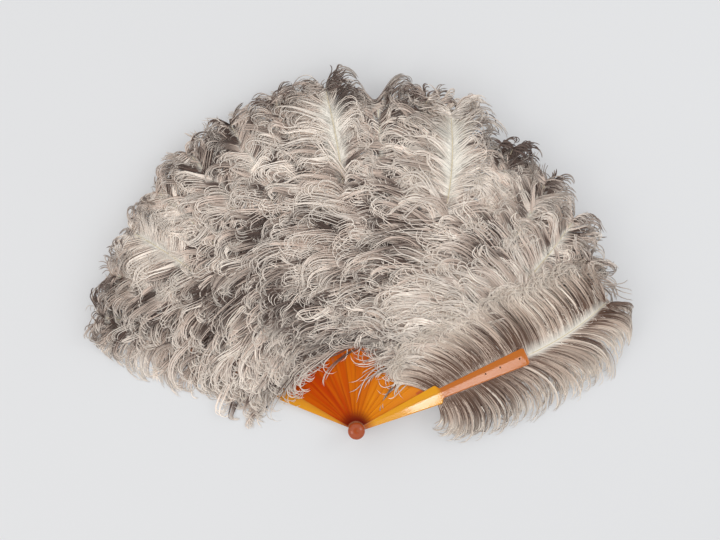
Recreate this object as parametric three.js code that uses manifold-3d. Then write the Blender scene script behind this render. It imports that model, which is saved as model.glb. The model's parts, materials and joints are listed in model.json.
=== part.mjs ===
// Folding fan of ostrich plumes on amber sticks, laid open on its back. Millimetres, +Z up.
// The rivet stands on the Z axis, the middle of the spread points along +Y, and the back button
// rests on the plane z = 0. Each blade keeps its own layer, so the fan folds with nothing in the way.

import * as THREE from "three";
import { mergeVertices } from "three/addons/utils/BufferGeometryUtils.js";
import Module from "manifold-3d";

const wasm = await Module();
wasm.setup();

// Spread of the blades: two guards with the sticks between them
const BLADE_COUNT = 16;
const SPREAD_DEG = 129;

// Thicknesses along the rivet
const STICK_THICKNESS = 1.2;
const GUARD_THICKNESS = 3;
const RIBBON_THICKNESS = 0.16;
const SLIDE_CLEARANCE = 0.08;
const SEAT_GAP = 0.3;

// Blade outline, measured from the rivet along the blade
const HEAD_RADIUS = 9.2;
const NECK_WIDTH = 5;
const SHOULDER_REACH = 100;
const SHOULDER_FALL = 6;
const STICK_SHOULDER_WIDTH = 21;
const RIB_WIDTH = 7;
const RIB_END_WIDTH = 4.4;
const RIB_REACH = 196;
const RIB_CORNER = 1.8;
const GUARD_SHOULDER_WIDTH = 22;
const GUARD_WAIST_WIDTH = 12;
const GUARD_END_WIDTH = 20;
const GUARD_REACH = 210;
const GUARD_FACE_CORNER = 2;
const GUARD_BEVEL_WIDTH = 1.2;
const GUARD_BEVEL_DEPTH = 0.7;
const GUARD_SLOPE_DEG = 8;
const GUARD_SLOPE_START = 1;
const GUARD_SLOPE_END = 2.6;
const GUARD_TIP_SLOPE_DEG = 14;
const GUARD_TIP_SLOPE_LENGTH = 4;

// Rivet and the two buttons that cover its ends
const RIVET_RADIUS = 1.5;
const RIVET_CLEARANCE = 0.3;
const FRONT_BUTTON_RADIUS = 9.6;
const FRONT_BUTTON_CROWN = 6;
const FRONT_BUTTON_TUCK_DEG = 34;
const BACK_BUTTON_RADIUS = 8.6;
const BACK_BUTTON_HEIGHT = 2.4;
const BACK_BUTTON_FLAT_RADIUS = 5.6;
const BUTTON_ROOF = 0.9;

// Plumes: a flat vane of barb locks on a shaft, fixed under the rib of its blade
const VANE_THICKNESS = 0.45;
const VANE_EDGE_THICKNESS = 0.3;
const LAP_GAP = 0.25;
const LAP_TUCK = 9.5;
const VANE_SETBACK = 5.5;
const VANE_HALF_WIDTH = 62;
const BACK_PLUME_OUTER_HALF_WIDTH = 42;
const VANE_BASE_SHARE = 0.78;
const VANE_SWELL_END_SHARE = 0.3;
const VANE_FALL_START_SHARE = 0.5;
const VANE_TIP_SHARE = 0.72;
const SIDE_PLUME_REACH = 346;
const MIDDLE_PLUME_REACH = 417;
const REACH_PEAK_POWER = 1.3;
const PLUME_BOW = 16;
const SIDE_LOCKS = 8;
const TIP_LOCKS = 2;
const TIP_START_SHARE = 0.88;
const LOCK_NOTCH_SHARE = 0.82;
const SHAFT_HALF_WIDTH = 1.8;
const SHAFT_TIP_HALF_WIDTH = 0.6;
const SHAFT_HEIGHT = 1.05;
const BARB_BASE_DEG = 112;
const BARB_MIDDLE_DEG = 68;
const BARB_TIP_DEG = 11;
const ARCH_HEIGHT = 5;
const ARCH_START_GAP = 6;
const ARCH_END_GAP = 20;

// Ribbon that links each blade to the next, in the gap between them
const RIBBON_REACH = 84;
const RIBBON_WIDTH = 10;

// Pins that hold the quills to the guards, measured back from the guard's end
const QUILL_PIN_RADIUS = 0.7;
const QUILL_PIN_CLEARANCE = 0.3;
const QUILL_PIN_SETBACKS = [9, 33, 51];

// How finely round stretches are divided
const CURVE_STEPS = 6;
const CORNER_STEPS = 4;
const HOLE_SIDES = 16;
const BUTTON_SIDES = 28;
const DOME_STEPS = 7;
const RIBBON_STEPS = 3;
const CUT_MARGIN = 1;
const MERGE_DISTANCE = 1e-4;

const AMBER = { color: 0xc8660f, roughness: 0.18, metalness: 0 };
const GUARD_AMBER = { color: 0xc9823f, roughness: 0.14, metalness: 0 };
const BUTTON_AMBER = { color: 0xb4541c, roughness: 0.12, metalness: 0 };
const PLUME = { color: 0xa89d91, roughness: 0.9, metalness: 0 };
const RIBBON_SILK = { color: 0xc8b79d, roughness: 0.6, metalness: 0 };
const BRASS = { color: 0xb08d4a, roughness: 0.3, metalness: 1 };
const PIN_METAL = { color: 0x5a3c26, roughness: 0.4, metalness: 0.8 };

// Places along the rivet, from the rest plane up
const RUNNING_GAP = RIBBON_THICKNESS + 2 * SLIDE_CLEARANCE;
const STICK_COUNT = BLADE_COUNT - 2;
const STEP_DEG = SPREAD_DEG / (BLADE_COUNT - 1);
const PITCH = STICK_THICKNESS + RUNNING_GAP;
const BACK_GUARD_Z = BACK_BUTTON_HEIGHT + SEAT_GAP;
const FIRST_STICK_Z = BACK_GUARD_Z + GUARD_THICKNESS + RUNNING_GAP;
const FRONT_GUARD_Z = FIRST_STICK_Z + STICK_COUNT * PITCH;
const FRONT_BUTTON_Z = FRONT_GUARD_Z + GUARD_THICKNESS + SEAT_GAP;

const FRONT_BUTTON_TUCK = THREE.MathUtils.degToRad(FRONT_BUTTON_TUCK_DEG);
const FRONT_BUTTON_HEIGHT = FRONT_BUTTON_CROWN * (1 + Math.sin(FRONT_BUTTON_TUCK));

const HOLE_RADIUS = RIVET_RADIUS + RIVET_CLEARANCE;
const LAP_DEPTH = VANE_THICKNESS + LAP_GAP;
const RIB_START = SHOULDER_REACH + SHOULDER_FALL;
const LAP_START = SHOULDER_REACH - LAP_TUCK;
const VANE_START = LAP_START + VANE_SETBACK;
const ARCH_START = Math.max(GUARD_REACH, RIB_REACH) + ARCH_START_GAP;
const ARCH_END = Math.max(MIDDLE_PLUME_REACH, SIDE_PLUME_REACH) + ARCH_END_GAP;

// Solids from three.js geometry, for joining and cutting

function solidOf(geometry) {
  const bare = geometry.clone();
  bare.deleteAttribute("normal");
  bare.deleteAttribute("uv");
  const merged = mergeVertices(bare, MERGE_DISTANCE);
  return new wasm.Manifold(
    new wasm.Mesh({
      numProp: 3,
      vertProperties: merged.attributes.position.array,
      triVerts: new Uint32Array(merged.index.array),
    }),
  );
}

function geometryOf(solid) {
  const mesh = solid.getMesh();
  const geometry = new THREE.BufferGeometry();
  geometry.setAttribute("position", new THREE.BufferAttribute(mesh.vertProperties, 3));
  geometry.setIndex(new THREE.BufferAttribute(mesh.triVerts, 1));
  geometry.computeVertexNormals();
  return geometry;
}

// An upright cylinder between two heights
function uprightCylinder(radius, low, high, sides, x = 0) {
  const geometry = new THREE.CylinderGeometry(radius, radius, high - low, sides);
  geometry.rotateX(Math.PI / 2);
  geometry.translate(x, 0, (low + high) / 2);
  return geometry;
}

function namedMesh(name, geometry, finish) {
  const mesh = new THREE.Mesh(geometry, new THREE.MeshStandardMaterial(finish));
  mesh.name = name;
  return mesh;
}

function smoothStep(from, to, value) {
  const t = THREE.MathUtils.clamp((value - from) / (to - from), 0, 1);
  return t * t * (3 - 2 * t);
}

// Blades

// A blade seen from the front: round head, neck, widening gorge, shoulder, then a rib to its end
function bladeOutline({ shoulderWidth, waistWidth, endWidth, reach, corner }) {
  const neckTurn = Math.asin(NECK_WIDTH / 2 / HEAD_RADIUS);
  const fallMiddle = SHOULDER_REACH + SHOULDER_FALL / 2;
  const [shoulder, waist, end] = [shoulderWidth / 2, waistWidth / 2, endWidth / 2];
  const outline = new THREE.Shape();
  outline.absarc(0, 0, HEAD_RADIUS, neckTurn, 2 * Math.PI - neckTurn, false);
  outline.lineTo(SHOULDER_REACH, -shoulder);
  outline.bezierCurveTo(fallMiddle, -shoulder, fallMiddle, -waist, RIB_START, -waist);
  for (const side of [-1, 1]) {
    for (let i = 0; i <= CORNER_STEPS; i += 1) {
      const turn = ((side - 1) / 2 + i / CORNER_STEPS) * (Math.PI / 2);
      const x = reach - corner + corner * Math.cos(turn);
      outline.lineTo(x, side * (end - corner) + corner * Math.sin(turn));
    }
  }
  outline.lineTo(RIB_START, waist);
  outline.bezierCurveTo(fallMiddle, waist, fallMiddle, shoulder, SHOULDER_REACH, shoulder);
  outline.closePath();
  return outline;
}

// The half lap on the lower face, from the shoulder to the end, where the quill lies
function lapCut(reach, width) {
  const length = reach + CUT_MARGIN - LAP_START;
  const depth = LAP_DEPTH + CUT_MARGIN;
  const box = new THREE.BoxGeometry(length, width + 2 * CUT_MARGIN, depth);
  box.translate(LAP_START + length / 2, 0, LAP_DEPTH - depth / 2);
  return solidOf(box);
}

function holeCut(radius, thickness, x = 0) {
  return solidOf(uprightCylinder(radius, -CUT_MARGIN, thickness + CUT_MARGIN, HOLE_SIDES, x));
}

function stickGeometry() {
  const outline = bladeOutline({
    shoulderWidth: STICK_SHOULDER_WIDTH,
    waistWidth: RIB_WIDTH,
    endWidth: RIB_END_WIDTH,
    reach: RIB_REACH,
    corner: RIB_CORNER,
  });
  const plate = new THREE.ExtrudeGeometry(outline, {
    depth: STICK_THICKNESS,
    bevelEnabled: false,
    curveSegments: CURVE_STEPS,
  });
  const widest = Math.max(RIB_WIDTH, RIB_END_WIDTH, STICK_SHOULDER_WIDTH);
  return geometryOf(
    solidOf(plate)
      .subtract(lapCut(RIB_REACH, widest))
      .subtract(holeCut(HOLE_RADIUS, STICK_THICKNESS)),
  );
}

const quillPinPlaces = QUILL_PIN_SETBACKS.map((setback) => GUARD_REACH - setback);
const quillPinHole = QUILL_PIN_RADIUS + QUILL_PIN_CLEARANCE;

// The broad slope along one edge of a guard's face: a block laid over the face and tipped about
// the line where the slope begins
function edgeSlopeCut(widest) {
  const length = GUARD_REACH + CUT_MARGIN - HEAD_RADIUS;
  const block = new THREE.BoxGeometry(length, widest, GUARD_THICKNESS);
  block.translate(length / 2, widest / 2, GUARD_THICKNESS / 2);
  block.rotateX(-THREE.MathUtils.degToRad(GUARD_SLOPE_DEG));
  block.rotateZ(Math.atan((GUARD_SLOPE_END - GUARD_SLOPE_START) / (GUARD_REACH - HEAD_RADIUS)));
  block.translate(HEAD_RADIUS, GUARD_SLOPE_START, GUARD_THICKNESS);
  return solidOf(block);
}

// The shorter slope across the guard's end
function tipSlopeCut(widest) {
  const block = new THREE.BoxGeometry(widest, 2 * widest, GUARD_THICKNESS);
  block.translate(widest / 2, 0, GUARD_THICKNESS / 2);
  block.rotateY(THREE.MathUtils.degToRad(GUARD_TIP_SLOPE_DEG));
  block.translate(GUARD_REACH - GUARD_TIP_SLOPE_LENGTH, 0, GUARD_THICKNESS);
  return solidOf(block);
}

// A guard lies with its bevelled face up and its half lap below
function guardGeometry() {
  const outline = bladeOutline({
    shoulderWidth: GUARD_SHOULDER_WIDTH,
    waistWidth: GUARD_WAIST_WIDTH,
    endWidth: GUARD_END_WIDTH,
    reach: GUARD_REACH,
    corner: GUARD_BEVEL_WIDTH + GUARD_FACE_CORNER,
  });
  const bar = new THREE.ExtrudeGeometry(outline, {
    depth: GUARD_THICKNESS,
    bevelEnabled: true,
    bevelThickness: GUARD_BEVEL_DEPTH,
    bevelSize: GUARD_BEVEL_WIDTH,
    bevelOffset: -GUARD_BEVEL_WIDTH,
    bevelSegments: 1,
    curveSegments: CURVE_STEPS,
  });
  bar.translate(0, 0, -GUARD_BEVEL_DEPTH);
  const widest = Math.max(GUARD_SHOULDER_WIDTH, GUARD_WAIST_WIDTH, GUARD_END_WIDTH, 2 * HEAD_RADIUS);
  const floorDepth = 2 * GUARD_BEVEL_DEPTH + CUT_MARGIN;
  const below = new THREE.BoxGeometry(2 * (GUARD_REACH + HEAD_RADIUS), 2 * widest, floorDepth);
  below.translate(0, 0, -floorDepth / 2);
  let guard = solidOf(bar)
    .subtract(solidOf(below))
    .subtract(edgeSlopeCut(widest))
    .subtract(tipSlopeCut(widest))
    .subtract(lapCut(GUARD_REACH, widest))
    .subtract(holeCut(HOLE_RADIUS, GUARD_THICKNESS));
  for (const place of quillPinPlaces) {
    guard = guard.subtract(holeCut(quillPinHole, GUARD_THICKNESS, place));
  }
  return geometryOf(guard);
}

// Plumes

// Height of the arch at a distance from the rivet. It is the same for every plume, so that
// plumes stay clear of each other however the fan is folded.
function archAt(distance) {
  const share = THREE.MathUtils.clamp((distance - ARCH_START) / (ARCH_END - ARCH_START), 0, 1);
  return ARCH_HEIGHT * Math.sin(Math.PI * share) ** 2;
}

// Where each cross row leaves the shaft, and at what angle: rows at the tips of the barb locks
// take turns with rows at the notches between them, and the last locks fan out round the tip
function plumeRowPlaces() {
  const sideRows = 2 * SIDE_LOCKS;
  const tipRows = 2 * TIP_LOCKS;
  const places = [];
  for (let i = 0; i <= sideRows + tipRows; i += 1) {
    const side = Math.min(1, i / sideRows);
    const tip = Math.max(0, (i - sideRows) / tipRows);
    places.push({
      share: TIP_START_SHARE * side + (1 - TIP_START_SHARE) * tip,
      degrees:
        THREE.MathUtils.lerp(BARB_BASE_DEG, BARB_MIDDLE_DEG, side) -
        (BARB_MIDDLE_DEG - BARB_TIP_DEG) * tip,
      edge: i % 2 === 0 ? 1 : LOCK_NOTCH_SHARE,
    });
  }
  return places;
}

// One cross row of a plume, its points from one edge over the shaft to the other edge
function plumeRow({ share, degrees, edge }, { reach, bow, leftWidth, rightWidth }) {
  const angle = THREE.MathUtils.degToRad(degrees);
  const tipBarb = VANE_TIP_SHARE * Math.max(leftWidth, rightWidth);
  const shaftEnd = reach - tipBarb * Math.cos(THREE.MathUtils.degToRad(BARB_TIP_DEG));
  const x = THREE.MathUtils.lerp(VANE_START, shaftEnd, share);
  const bend = Math.max(0, (x - ARCH_START) / (shaftEnd - ARCH_START));
  const slope = (2 * bow * bend) / (shaftEnd - ARCH_START);
  const baseSwell = VANE_BASE_SHARE + (1 - VANE_BASE_SHARE) * smoothStep(0, VANE_SWELL_END_SHARE, share);
  const tipFall = 1 - (1 - VANE_TIP_SHARE) * smoothStep(VANE_FALL_START_SHARE, 1, share);
  const shaftHalf = THREE.MathUtils.lerp(SHAFT_HALF_WIDTH, SHAFT_TIP_HALF_WIDTH, share);
  const shaftTop = x > ARCH_START ? SHAFT_HEIGHT : VANE_THICKNESS;
  const along = new THREE.Vector2(1, slope).normalize();
  const across = new THREE.Vector2(-along.y, along.x);
  const middle = new THREE.Vector2(x, bow * bend * bend);
  const row = [];
  const add = (side, out, top) => {
    const point = middle
      .clone()
      .addScaledVector(along, out * Math.cos(angle))
      .addScaledVector(across, side * out * Math.sin(angle));
    const low = archAt(point.length());
    row.push({ low: [point.x, point.y, low], high: [point.x, point.y, low + top] });
  };
  add(1, leftWidth * baseSwell * tipFall * edge, VANE_EDGE_THICKNESS);
  add(1, shaftHalf, VANE_THICKNESS);
  add(0, 0, shaftTop);
  add(-1, shaftHalf, VANE_THICKNESS);
  add(-1, rightWidth * baseSwell * tipFall * edge, VANE_EDGE_THICKNESS);
  return row;
}

// The whole plume: its rows skinned above, below and round the edge
function plumeGeometry(plume) {
  const rows = plumeRowPlaces().map((place) => plumeRow(place, plume));
  const rowCount = rows.length - 1;
  const columns = rows[0].length;
  const positions = rows.flatMap((row) => row.flatMap(({ low, high }) => [...low, ...high]));
  const lowAt = (r, c) => 2 * (r * columns + c);
  const highAt = (r, c) => lowAt(r, c) + 1;
  const faces = [];
  const quad = (a, b, c, d) => faces.push(a, b, c, a, c, d);
  for (let r = 0; r < rowCount; r += 1) {
    for (let c = 0; c < columns - 1; c += 1) {
      quad(highAt(r, c), highAt(r, c + 1), highAt(r + 1, c + 1), highAt(r + 1, c));
      quad(lowAt(r, c), lowAt(r + 1, c), lowAt(r + 1, c + 1), lowAt(r, c + 1));
    }
    quad(lowAt(r, 0), highAt(r, 0), highAt(r + 1, 0), lowAt(r + 1, 0));
    const edge = columns - 1;
    quad(lowAt(r + 1, edge), highAt(r + 1, edge), highAt(r, edge), lowAt(r, edge));
  }
  for (let c = 0; c < columns - 1; c += 1) {
    quad(lowAt(0, c), lowAt(0, c + 1), highAt(0, c + 1), highAt(0, c));
    quad(highAt(rowCount, c), highAt(rowCount, c + 1), lowAt(rowCount, c + 1), lowAt(rowCount, c));
  }
  const geometry = new THREE.BufferGeometry();
  geometry.setAttribute("position", new THREE.Float32BufferAttribute(positions, 3));
  geometry.setIndex(faces);
  geometry.computeVertexNormals();
  return geometry;
}

// A guard's plume is pierced for the pins
function pinnedPlumeGeometry(plume) {
  let vane = solidOf(plumeGeometry(plume));
  for (const place of quillPinPlaces) {
    vane = vane.subtract(holeCut(quillPinHole, SHAFT_HEIGHT, place));
  }
  return geometryOf(vane);
}

// Plumes are longest in the middle of the fan and shortest at the guards
function plumeReach(index) {
  const share = Math.sin((Math.PI * index) / (BLADE_COUNT - 1)) ** REACH_PEAK_POWER;
  return THREE.MathUtils.lerp(SIDE_PLUME_REACH, MIDDLE_PLUME_REACH, share);
}

// Rivet, buttons, ribbon and pins

function frontButtonGeometry() {
  const socket = FRONT_BUTTON_HEIGHT - BUTTON_ROOF;
  const profile = [new THREE.Vector2(0, socket)];
  profile.push(new THREE.Vector2(HOLE_RADIUS, socket));
  profile.push(new THREE.Vector2(HOLE_RADIUS, 0));
  for (let i = 0; i <= DOME_STEPS; i += 1) {
    const turn = THREE.MathUtils.lerp(-FRONT_BUTTON_TUCK, Math.PI / 2, i / DOME_STEPS);
    profile.push(
      new THREE.Vector2(
        FRONT_BUTTON_RADIUS * Math.cos(turn),
        FRONT_BUTTON_CROWN * (Math.sin(FRONT_BUTTON_TUCK) + Math.sin(turn)),
      ),
    );
  }
  profile[profile.length - 1].x = 0;
  return new THREE.LatheGeometry(profile, BUTTON_SIDES).rotateX(Math.PI / 2);
}

function backButtonGeometry() {
  const rim = BACK_BUTTON_RADIUS - BACK_BUTTON_FLAT_RADIUS;
  const profile = [new THREE.Vector2(0, 0)];
  for (let i = 0; i <= DOME_STEPS; i += 1) {
    const turn = ((Math.PI / 2) * i) / DOME_STEPS;
    profile.push(
      new THREE.Vector2(
        BACK_BUTTON_FLAT_RADIUS + rim * Math.sin(turn),
        BACK_BUTTON_HEIGHT * (1 - Math.cos(turn)),
      ),
    );
  }
  profile.push(new THREE.Vector2(HOLE_RADIUS, BACK_BUTTON_HEIGHT));
  profile.push(new THREE.Vector2(HOLE_RADIUS, BUTTON_ROOF));
  profile.push(new THREE.Vector2(0, BUTTON_ROOF));
  return new THREE.LatheGeometry(profile, BUTTON_SIDES).rotateX(Math.PI / 2);
}

function rivetGeometry() {
  const low = BUTTON_ROOF + SEAT_GAP;
  const high = FRONT_BUTTON_Z + FRONT_BUTTON_HEIGHT - BUTTON_ROOF - SEAT_GAP;
  return uprightCylinder(RIVET_RADIUS, low, high, HOLE_SIDES);
}

// A strip of ribbon from one blade's middle line to the next one's
function ribbonGeometry() {
  const turn = THREE.MathUtils.degToRad(STEP_DEG);
  const strip = new THREE.Shape();
  strip.absarc(0, 0, RIBBON_REACH + RIBBON_WIDTH / 2, -turn, 0, false);
  strip.absarc(0, 0, RIBBON_REACH - RIBBON_WIDTH / 2, 0, -turn, true);
  strip.closePath();
  return new THREE.ExtrudeGeometry(strip, {
    depth: RIBBON_THICKNESS,
    bevelEnabled: false,
    curveSegments: RIBBON_STEPS,
  });
}

function quillPinGeometry(place) {
  return uprightCylinder(QUILL_PIN_RADIUS, 0, GUARD_THICKNESS, HOLE_SIDES, place);
}

// Assembly

const twoDigits = (n) => String(n).padStart(2, "0");
const bladeTurn = (index) => THREE.MathUtils.degToRad(90 + SPREAD_DEG / 2 - index * STEP_DEG);

function bladeGroup(index, z) {
  const group = new THREE.Group();
  group.rotation.z = bladeTurn(index);
  group.position.z = z;
  return group;
}

function addGuard(group, side, plume) {
  group.add(namedMesh(`${side}_guard`, guardGeometry(), GUARD_AMBER));
  group.add(namedMesh(`${side}_guard_plume`, pinnedPlumeGeometry(plume), PLUME));
  quillPinPlaces.forEach((place, i) => {
    group.add(namedMesh(`${side}_guard_pin_${i + 1}`, quillPinGeometry(place), PIN_METAL));
  });
}

const fan = new THREE.Group();
fan.name = "feather_fan";

// The back guard is a guard turned over, so that its bevelled face looks down
const backGuard = bladeGroup(0, BACK_GUARD_Z + GUARD_THICKNESS);
const turnedOver = new THREE.Group();
turnedOver.rotation.x = Math.PI;
addGuard(turnedOver, "back", {
  reach: plumeReach(0),
  bow: -PLUME_BOW,
  leftWidth: VANE_HALF_WIDTH,
  rightWidth: BACK_PLUME_OUTER_HALF_WIDTH,
});
backGuard.add(turnedOver);
fan.add(backGuard);

for (let k = 1; k <= STICK_COUNT; k += 1) {
  const stick = bladeGroup(k, FIRST_STICK_Z + (k - 1) * PITCH);
  stick.add(namedMesh(`stick_${twoDigits(k)}`, stickGeometry(), AMBER));
  const plume = {
    reach: plumeReach(k),
    bow: PLUME_BOW,
    leftWidth: VANE_HALF_WIDTH,
    rightWidth: VANE_HALF_WIDTH,
  };
  stick.add(namedMesh(`plume_${twoDigits(k)}`, plumeGeometry(plume), PLUME));
  fan.add(stick);
}

const frontGuard = bladeGroup(BLADE_COUNT - 1, FRONT_GUARD_Z);
addGuard(frontGuard, "front", {
  reach: plumeReach(BLADE_COUNT - 1),
  bow: PLUME_BOW,
  leftWidth: VANE_HALF_WIDTH,
  rightWidth: VANE_HALF_WIDTH,
});
fan.add(frontGuard);

for (let k = 1; k < BLADE_COUNT; k += 1) {
  const gapLow = FIRST_STICK_Z + (k - 1) * PITCH - RUNNING_GAP;
  const ribbon = namedMesh(`ribbon_${twoDigits(k)}`, ribbonGeometry(), RIBBON_SILK);
  ribbon.rotation.z = bladeTurn(k - 1);
  ribbon.position.z = gapLow + SLIDE_CLEARANCE;
  fan.add(ribbon);
}

fan.add(namedMesh("rivet_pin", rivetGeometry(), BRASS));
fan.add(namedMesh("back_button", backButtonGeometry(), BUTTON_AMBER));
const frontButton = namedMesh("front_button", frontButtonGeometry(), BUTTON_AMBER);
frontButton.position.z = FRONT_BUTTON_Z;
fan.add(frontButton);

export default fan;
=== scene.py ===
"""Feather fan: curled ostrich plumes on amber sticks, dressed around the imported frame. Metres, +Z up."""

import json
import logging
import math
from dataclasses import dataclass, field
from enum import Enum

import bmesh
import bpy
import numpy as np
from bpy.types import ID, Material, Mesh, Node, NodeSocket, NodeTree, Object
from mathutils import Matrix, Vector


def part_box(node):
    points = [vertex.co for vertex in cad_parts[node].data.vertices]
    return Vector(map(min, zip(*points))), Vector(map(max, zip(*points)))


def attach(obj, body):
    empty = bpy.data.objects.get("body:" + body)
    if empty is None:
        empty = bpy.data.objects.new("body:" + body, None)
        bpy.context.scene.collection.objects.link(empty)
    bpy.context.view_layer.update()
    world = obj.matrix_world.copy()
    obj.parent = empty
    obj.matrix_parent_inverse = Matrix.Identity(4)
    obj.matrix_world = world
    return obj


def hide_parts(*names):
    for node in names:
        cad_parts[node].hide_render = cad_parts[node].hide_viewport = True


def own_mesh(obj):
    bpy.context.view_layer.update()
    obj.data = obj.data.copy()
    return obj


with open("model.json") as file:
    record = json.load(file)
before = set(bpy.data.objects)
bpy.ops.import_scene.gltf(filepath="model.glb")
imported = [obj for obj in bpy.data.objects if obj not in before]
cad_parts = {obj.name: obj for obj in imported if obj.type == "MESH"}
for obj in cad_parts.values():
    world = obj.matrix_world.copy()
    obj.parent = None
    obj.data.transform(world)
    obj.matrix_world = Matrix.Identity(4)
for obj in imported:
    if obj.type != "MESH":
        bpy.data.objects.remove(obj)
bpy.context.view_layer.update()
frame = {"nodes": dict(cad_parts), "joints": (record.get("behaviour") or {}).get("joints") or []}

LOG = logging.getLogger("feather_fan")
MM = 0.001
MERGE = 1e-6
STRAND_MERGE = 1e-7

Array = np.ndarray
Colour = tuple[float, float, float, float]
Pair = tuple[float, float]
Point = tuple[float, float, float]
Input = NodeSocket | float | tuple[float, ...]


def srgb(red: int, green: int, blue: int) -> Colour:
    """Turns a colour written in 0 to 255 display values into linear RGBA.

    Args:
        red: the red value.
        green: the green value.
        blue: the blue value.

    Returns:
        The linear colour.
    """
    linear = [
        v / 12.92 if v <= 0.04045 else ((v + 0.055) / 1.055) ** 2.4
        for v in (red / 255, green / 255, blue / 255)
    ]
    return (*linear, 1.0)


def smooth(low: float, high: float, value: Array) -> Array:
    """A smooth step from 0 at low to 1 at high."""
    t = np.clip((value - low) / (high - low), 0, 1)
    return t * t * (3 - 2 * t)


@dataclass(frozen=True)
class Step:
    """A smooth step from 0 at low to 1 at high."""

    low: float
    high: float

    def __call__(self, value: Array) -> Array:
        """The step's height at the given values."""
        return smooth(self.low, self.high, value)


@dataclass(frozen=True)
class Course:
    """A value given at some places, which changes evenly between them."""

    at: tuple[float, ...]
    value: tuple[float, ...]

    def __call__(self, where: Array) -> Array:
        """The value at other places."""
        return np.interp(where, self.at, self.value)


def soft_limit(excess: Array, depth: float) -> Array:
    """Presses what stands past a line into a band of that depth."""
    return depth * (1 - np.exp(-np.clip(excess, 0, None) / depth))


class Side(Enum):
    """The two sides of a plume's shaft, as seen from the front with the fan's tips up."""

    LEFT = 1
    RIGHT = -1


class NodeSheet:
    """A small helper that places and links shader nodes in one tree."""

    def __init__(self, tree: NodeTree) -> None:
        """Keeps the tree that the nodes go into."""
        self.tree = tree

    def add(self, kind: str, **settings: object) -> Node:
        """Adds a node and sets its properties.

        Args:
            kind: the node's Blender type name without the ShaderNode prefix.
            settings: properties of the node by name.

        Returns:
            The new node.
        """
        node = self.tree.nodes.new("ShaderNode" + kind)
        for name, value in settings.items():
            setattr(node, name, value)
        return node

    def feed(self, node: Node, **inputs: Input) -> Node:
        """Sets or links a node's inputs.

        Args:
            node: the node to feed.
            inputs: value or output socket for each input; a name is the input's own, with _ for a
                space, or i and its number.

        Returns:
            The same node.
        """
        for name, value in inputs.items():
            numbered = name[0] == "i" and name[1:].isdigit()
            socket = node.inputs[int(name[1:]) if numbered else name.replace("_", " ")]
            if isinstance(value, NodeSocket):
                self.tree.links.new(value, socket)
            else:
                socket.default_value = value
        return node

    def math(self, operation: str, first: Input, second: Input = 0.0, third: Input = 0.0) -> NodeSocket:
        """Adds a math node and returns its result."""
        node = self.add("Math", operation=operation)
        return self.feed(node, i0=first, i1=second, i2=third).outputs[0]

    def scaled(self, value: Input, gain: float, base: Input) -> NodeSocket:
        """Returns base plus gain times a value."""
        return self.math("ADD", base, self.math("MULTIPLY", value, gain))

    def ramp(self, factor: Input, low: float, high: float, start: float = 0.0, end: float = 1.0) -> NodeSocket:
        """Maps factor smoothly from low..high to start..end and returns it."""
        node = self.add("MapRange", interpolation_type="SMOOTHSTEP")
        return self.feed(node, i0=factor, i1=low, i2=high, i3=start, i4=end).outputs[0]

    def mix(self, factor: Input, first: Input, second: Input) -> NodeSocket:
        """Mixes two colours and returns the result."""
        node = self.add("Mix", data_type="RGBA")
        return self.feed(node, i0=factor, i6=first, i7=second).outputs[2]

    def noise(self, vector: Input, scale: float, detail: float) -> NodeSocket:
        """Adds a noise texture and returns its value."""
        node = self.add("TexNoise")
        return self.feed(node, Vector=vector, Scale=scale, Detail=detail).outputs[0]

    def place(self) -> NodeSocket:
        """Adds the object's own coordinates and returns them."""
        return self.add("TexCoord").outputs["Object"]

    def attribute(self, name: str) -> NodeSocket:
        """Adds a value that the mesh carries and returns it."""
        return self.add("Attribute", attribute_name=name).outputs["Fac"]


COLOUR, VALUE = "NodeSocketColor", "NodeSocketFloat"


def new_group(name: str, inputs: dict[str, str], outputs: dict[str, str]) -> tuple[NodeTree, Node, Node]:
    """Makes a shader node group with named sockets.

    Args:
        name: the group's name.
        inputs: socket type by input name. Every material sets its own values.
        outputs: socket type by output name.

    Returns:
        The group tree, its input node and its output node.
    """
    tree = bpy.data.node_groups.new(name, "ShaderNodeTree")
    for way, sockets in (("INPUT", inputs), ("OUTPUT", outputs)):
        for socket_name, kind in sockets.items():
            tree.interface.new_socket(socket_name, in_out=way, socket_type=kind)
    return tree, tree.nodes.new("NodeGroupInput"), tree.nodes.new("NodeGroupOutput")


def new_material(name: str) -> tuple[Material, NodeSheet, Node]:
    """Makes a node material.

    Args:
        name: the material's name.

    Returns:
        The material, a sheet for its nodes, and its Principled BSDF.
    """
    material = bpy.data.materials.new(name)
    material.use_nodes = True
    return material, NodeSheet(material.node_tree), material.node_tree.nodes["Principled BSDF"]


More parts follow.
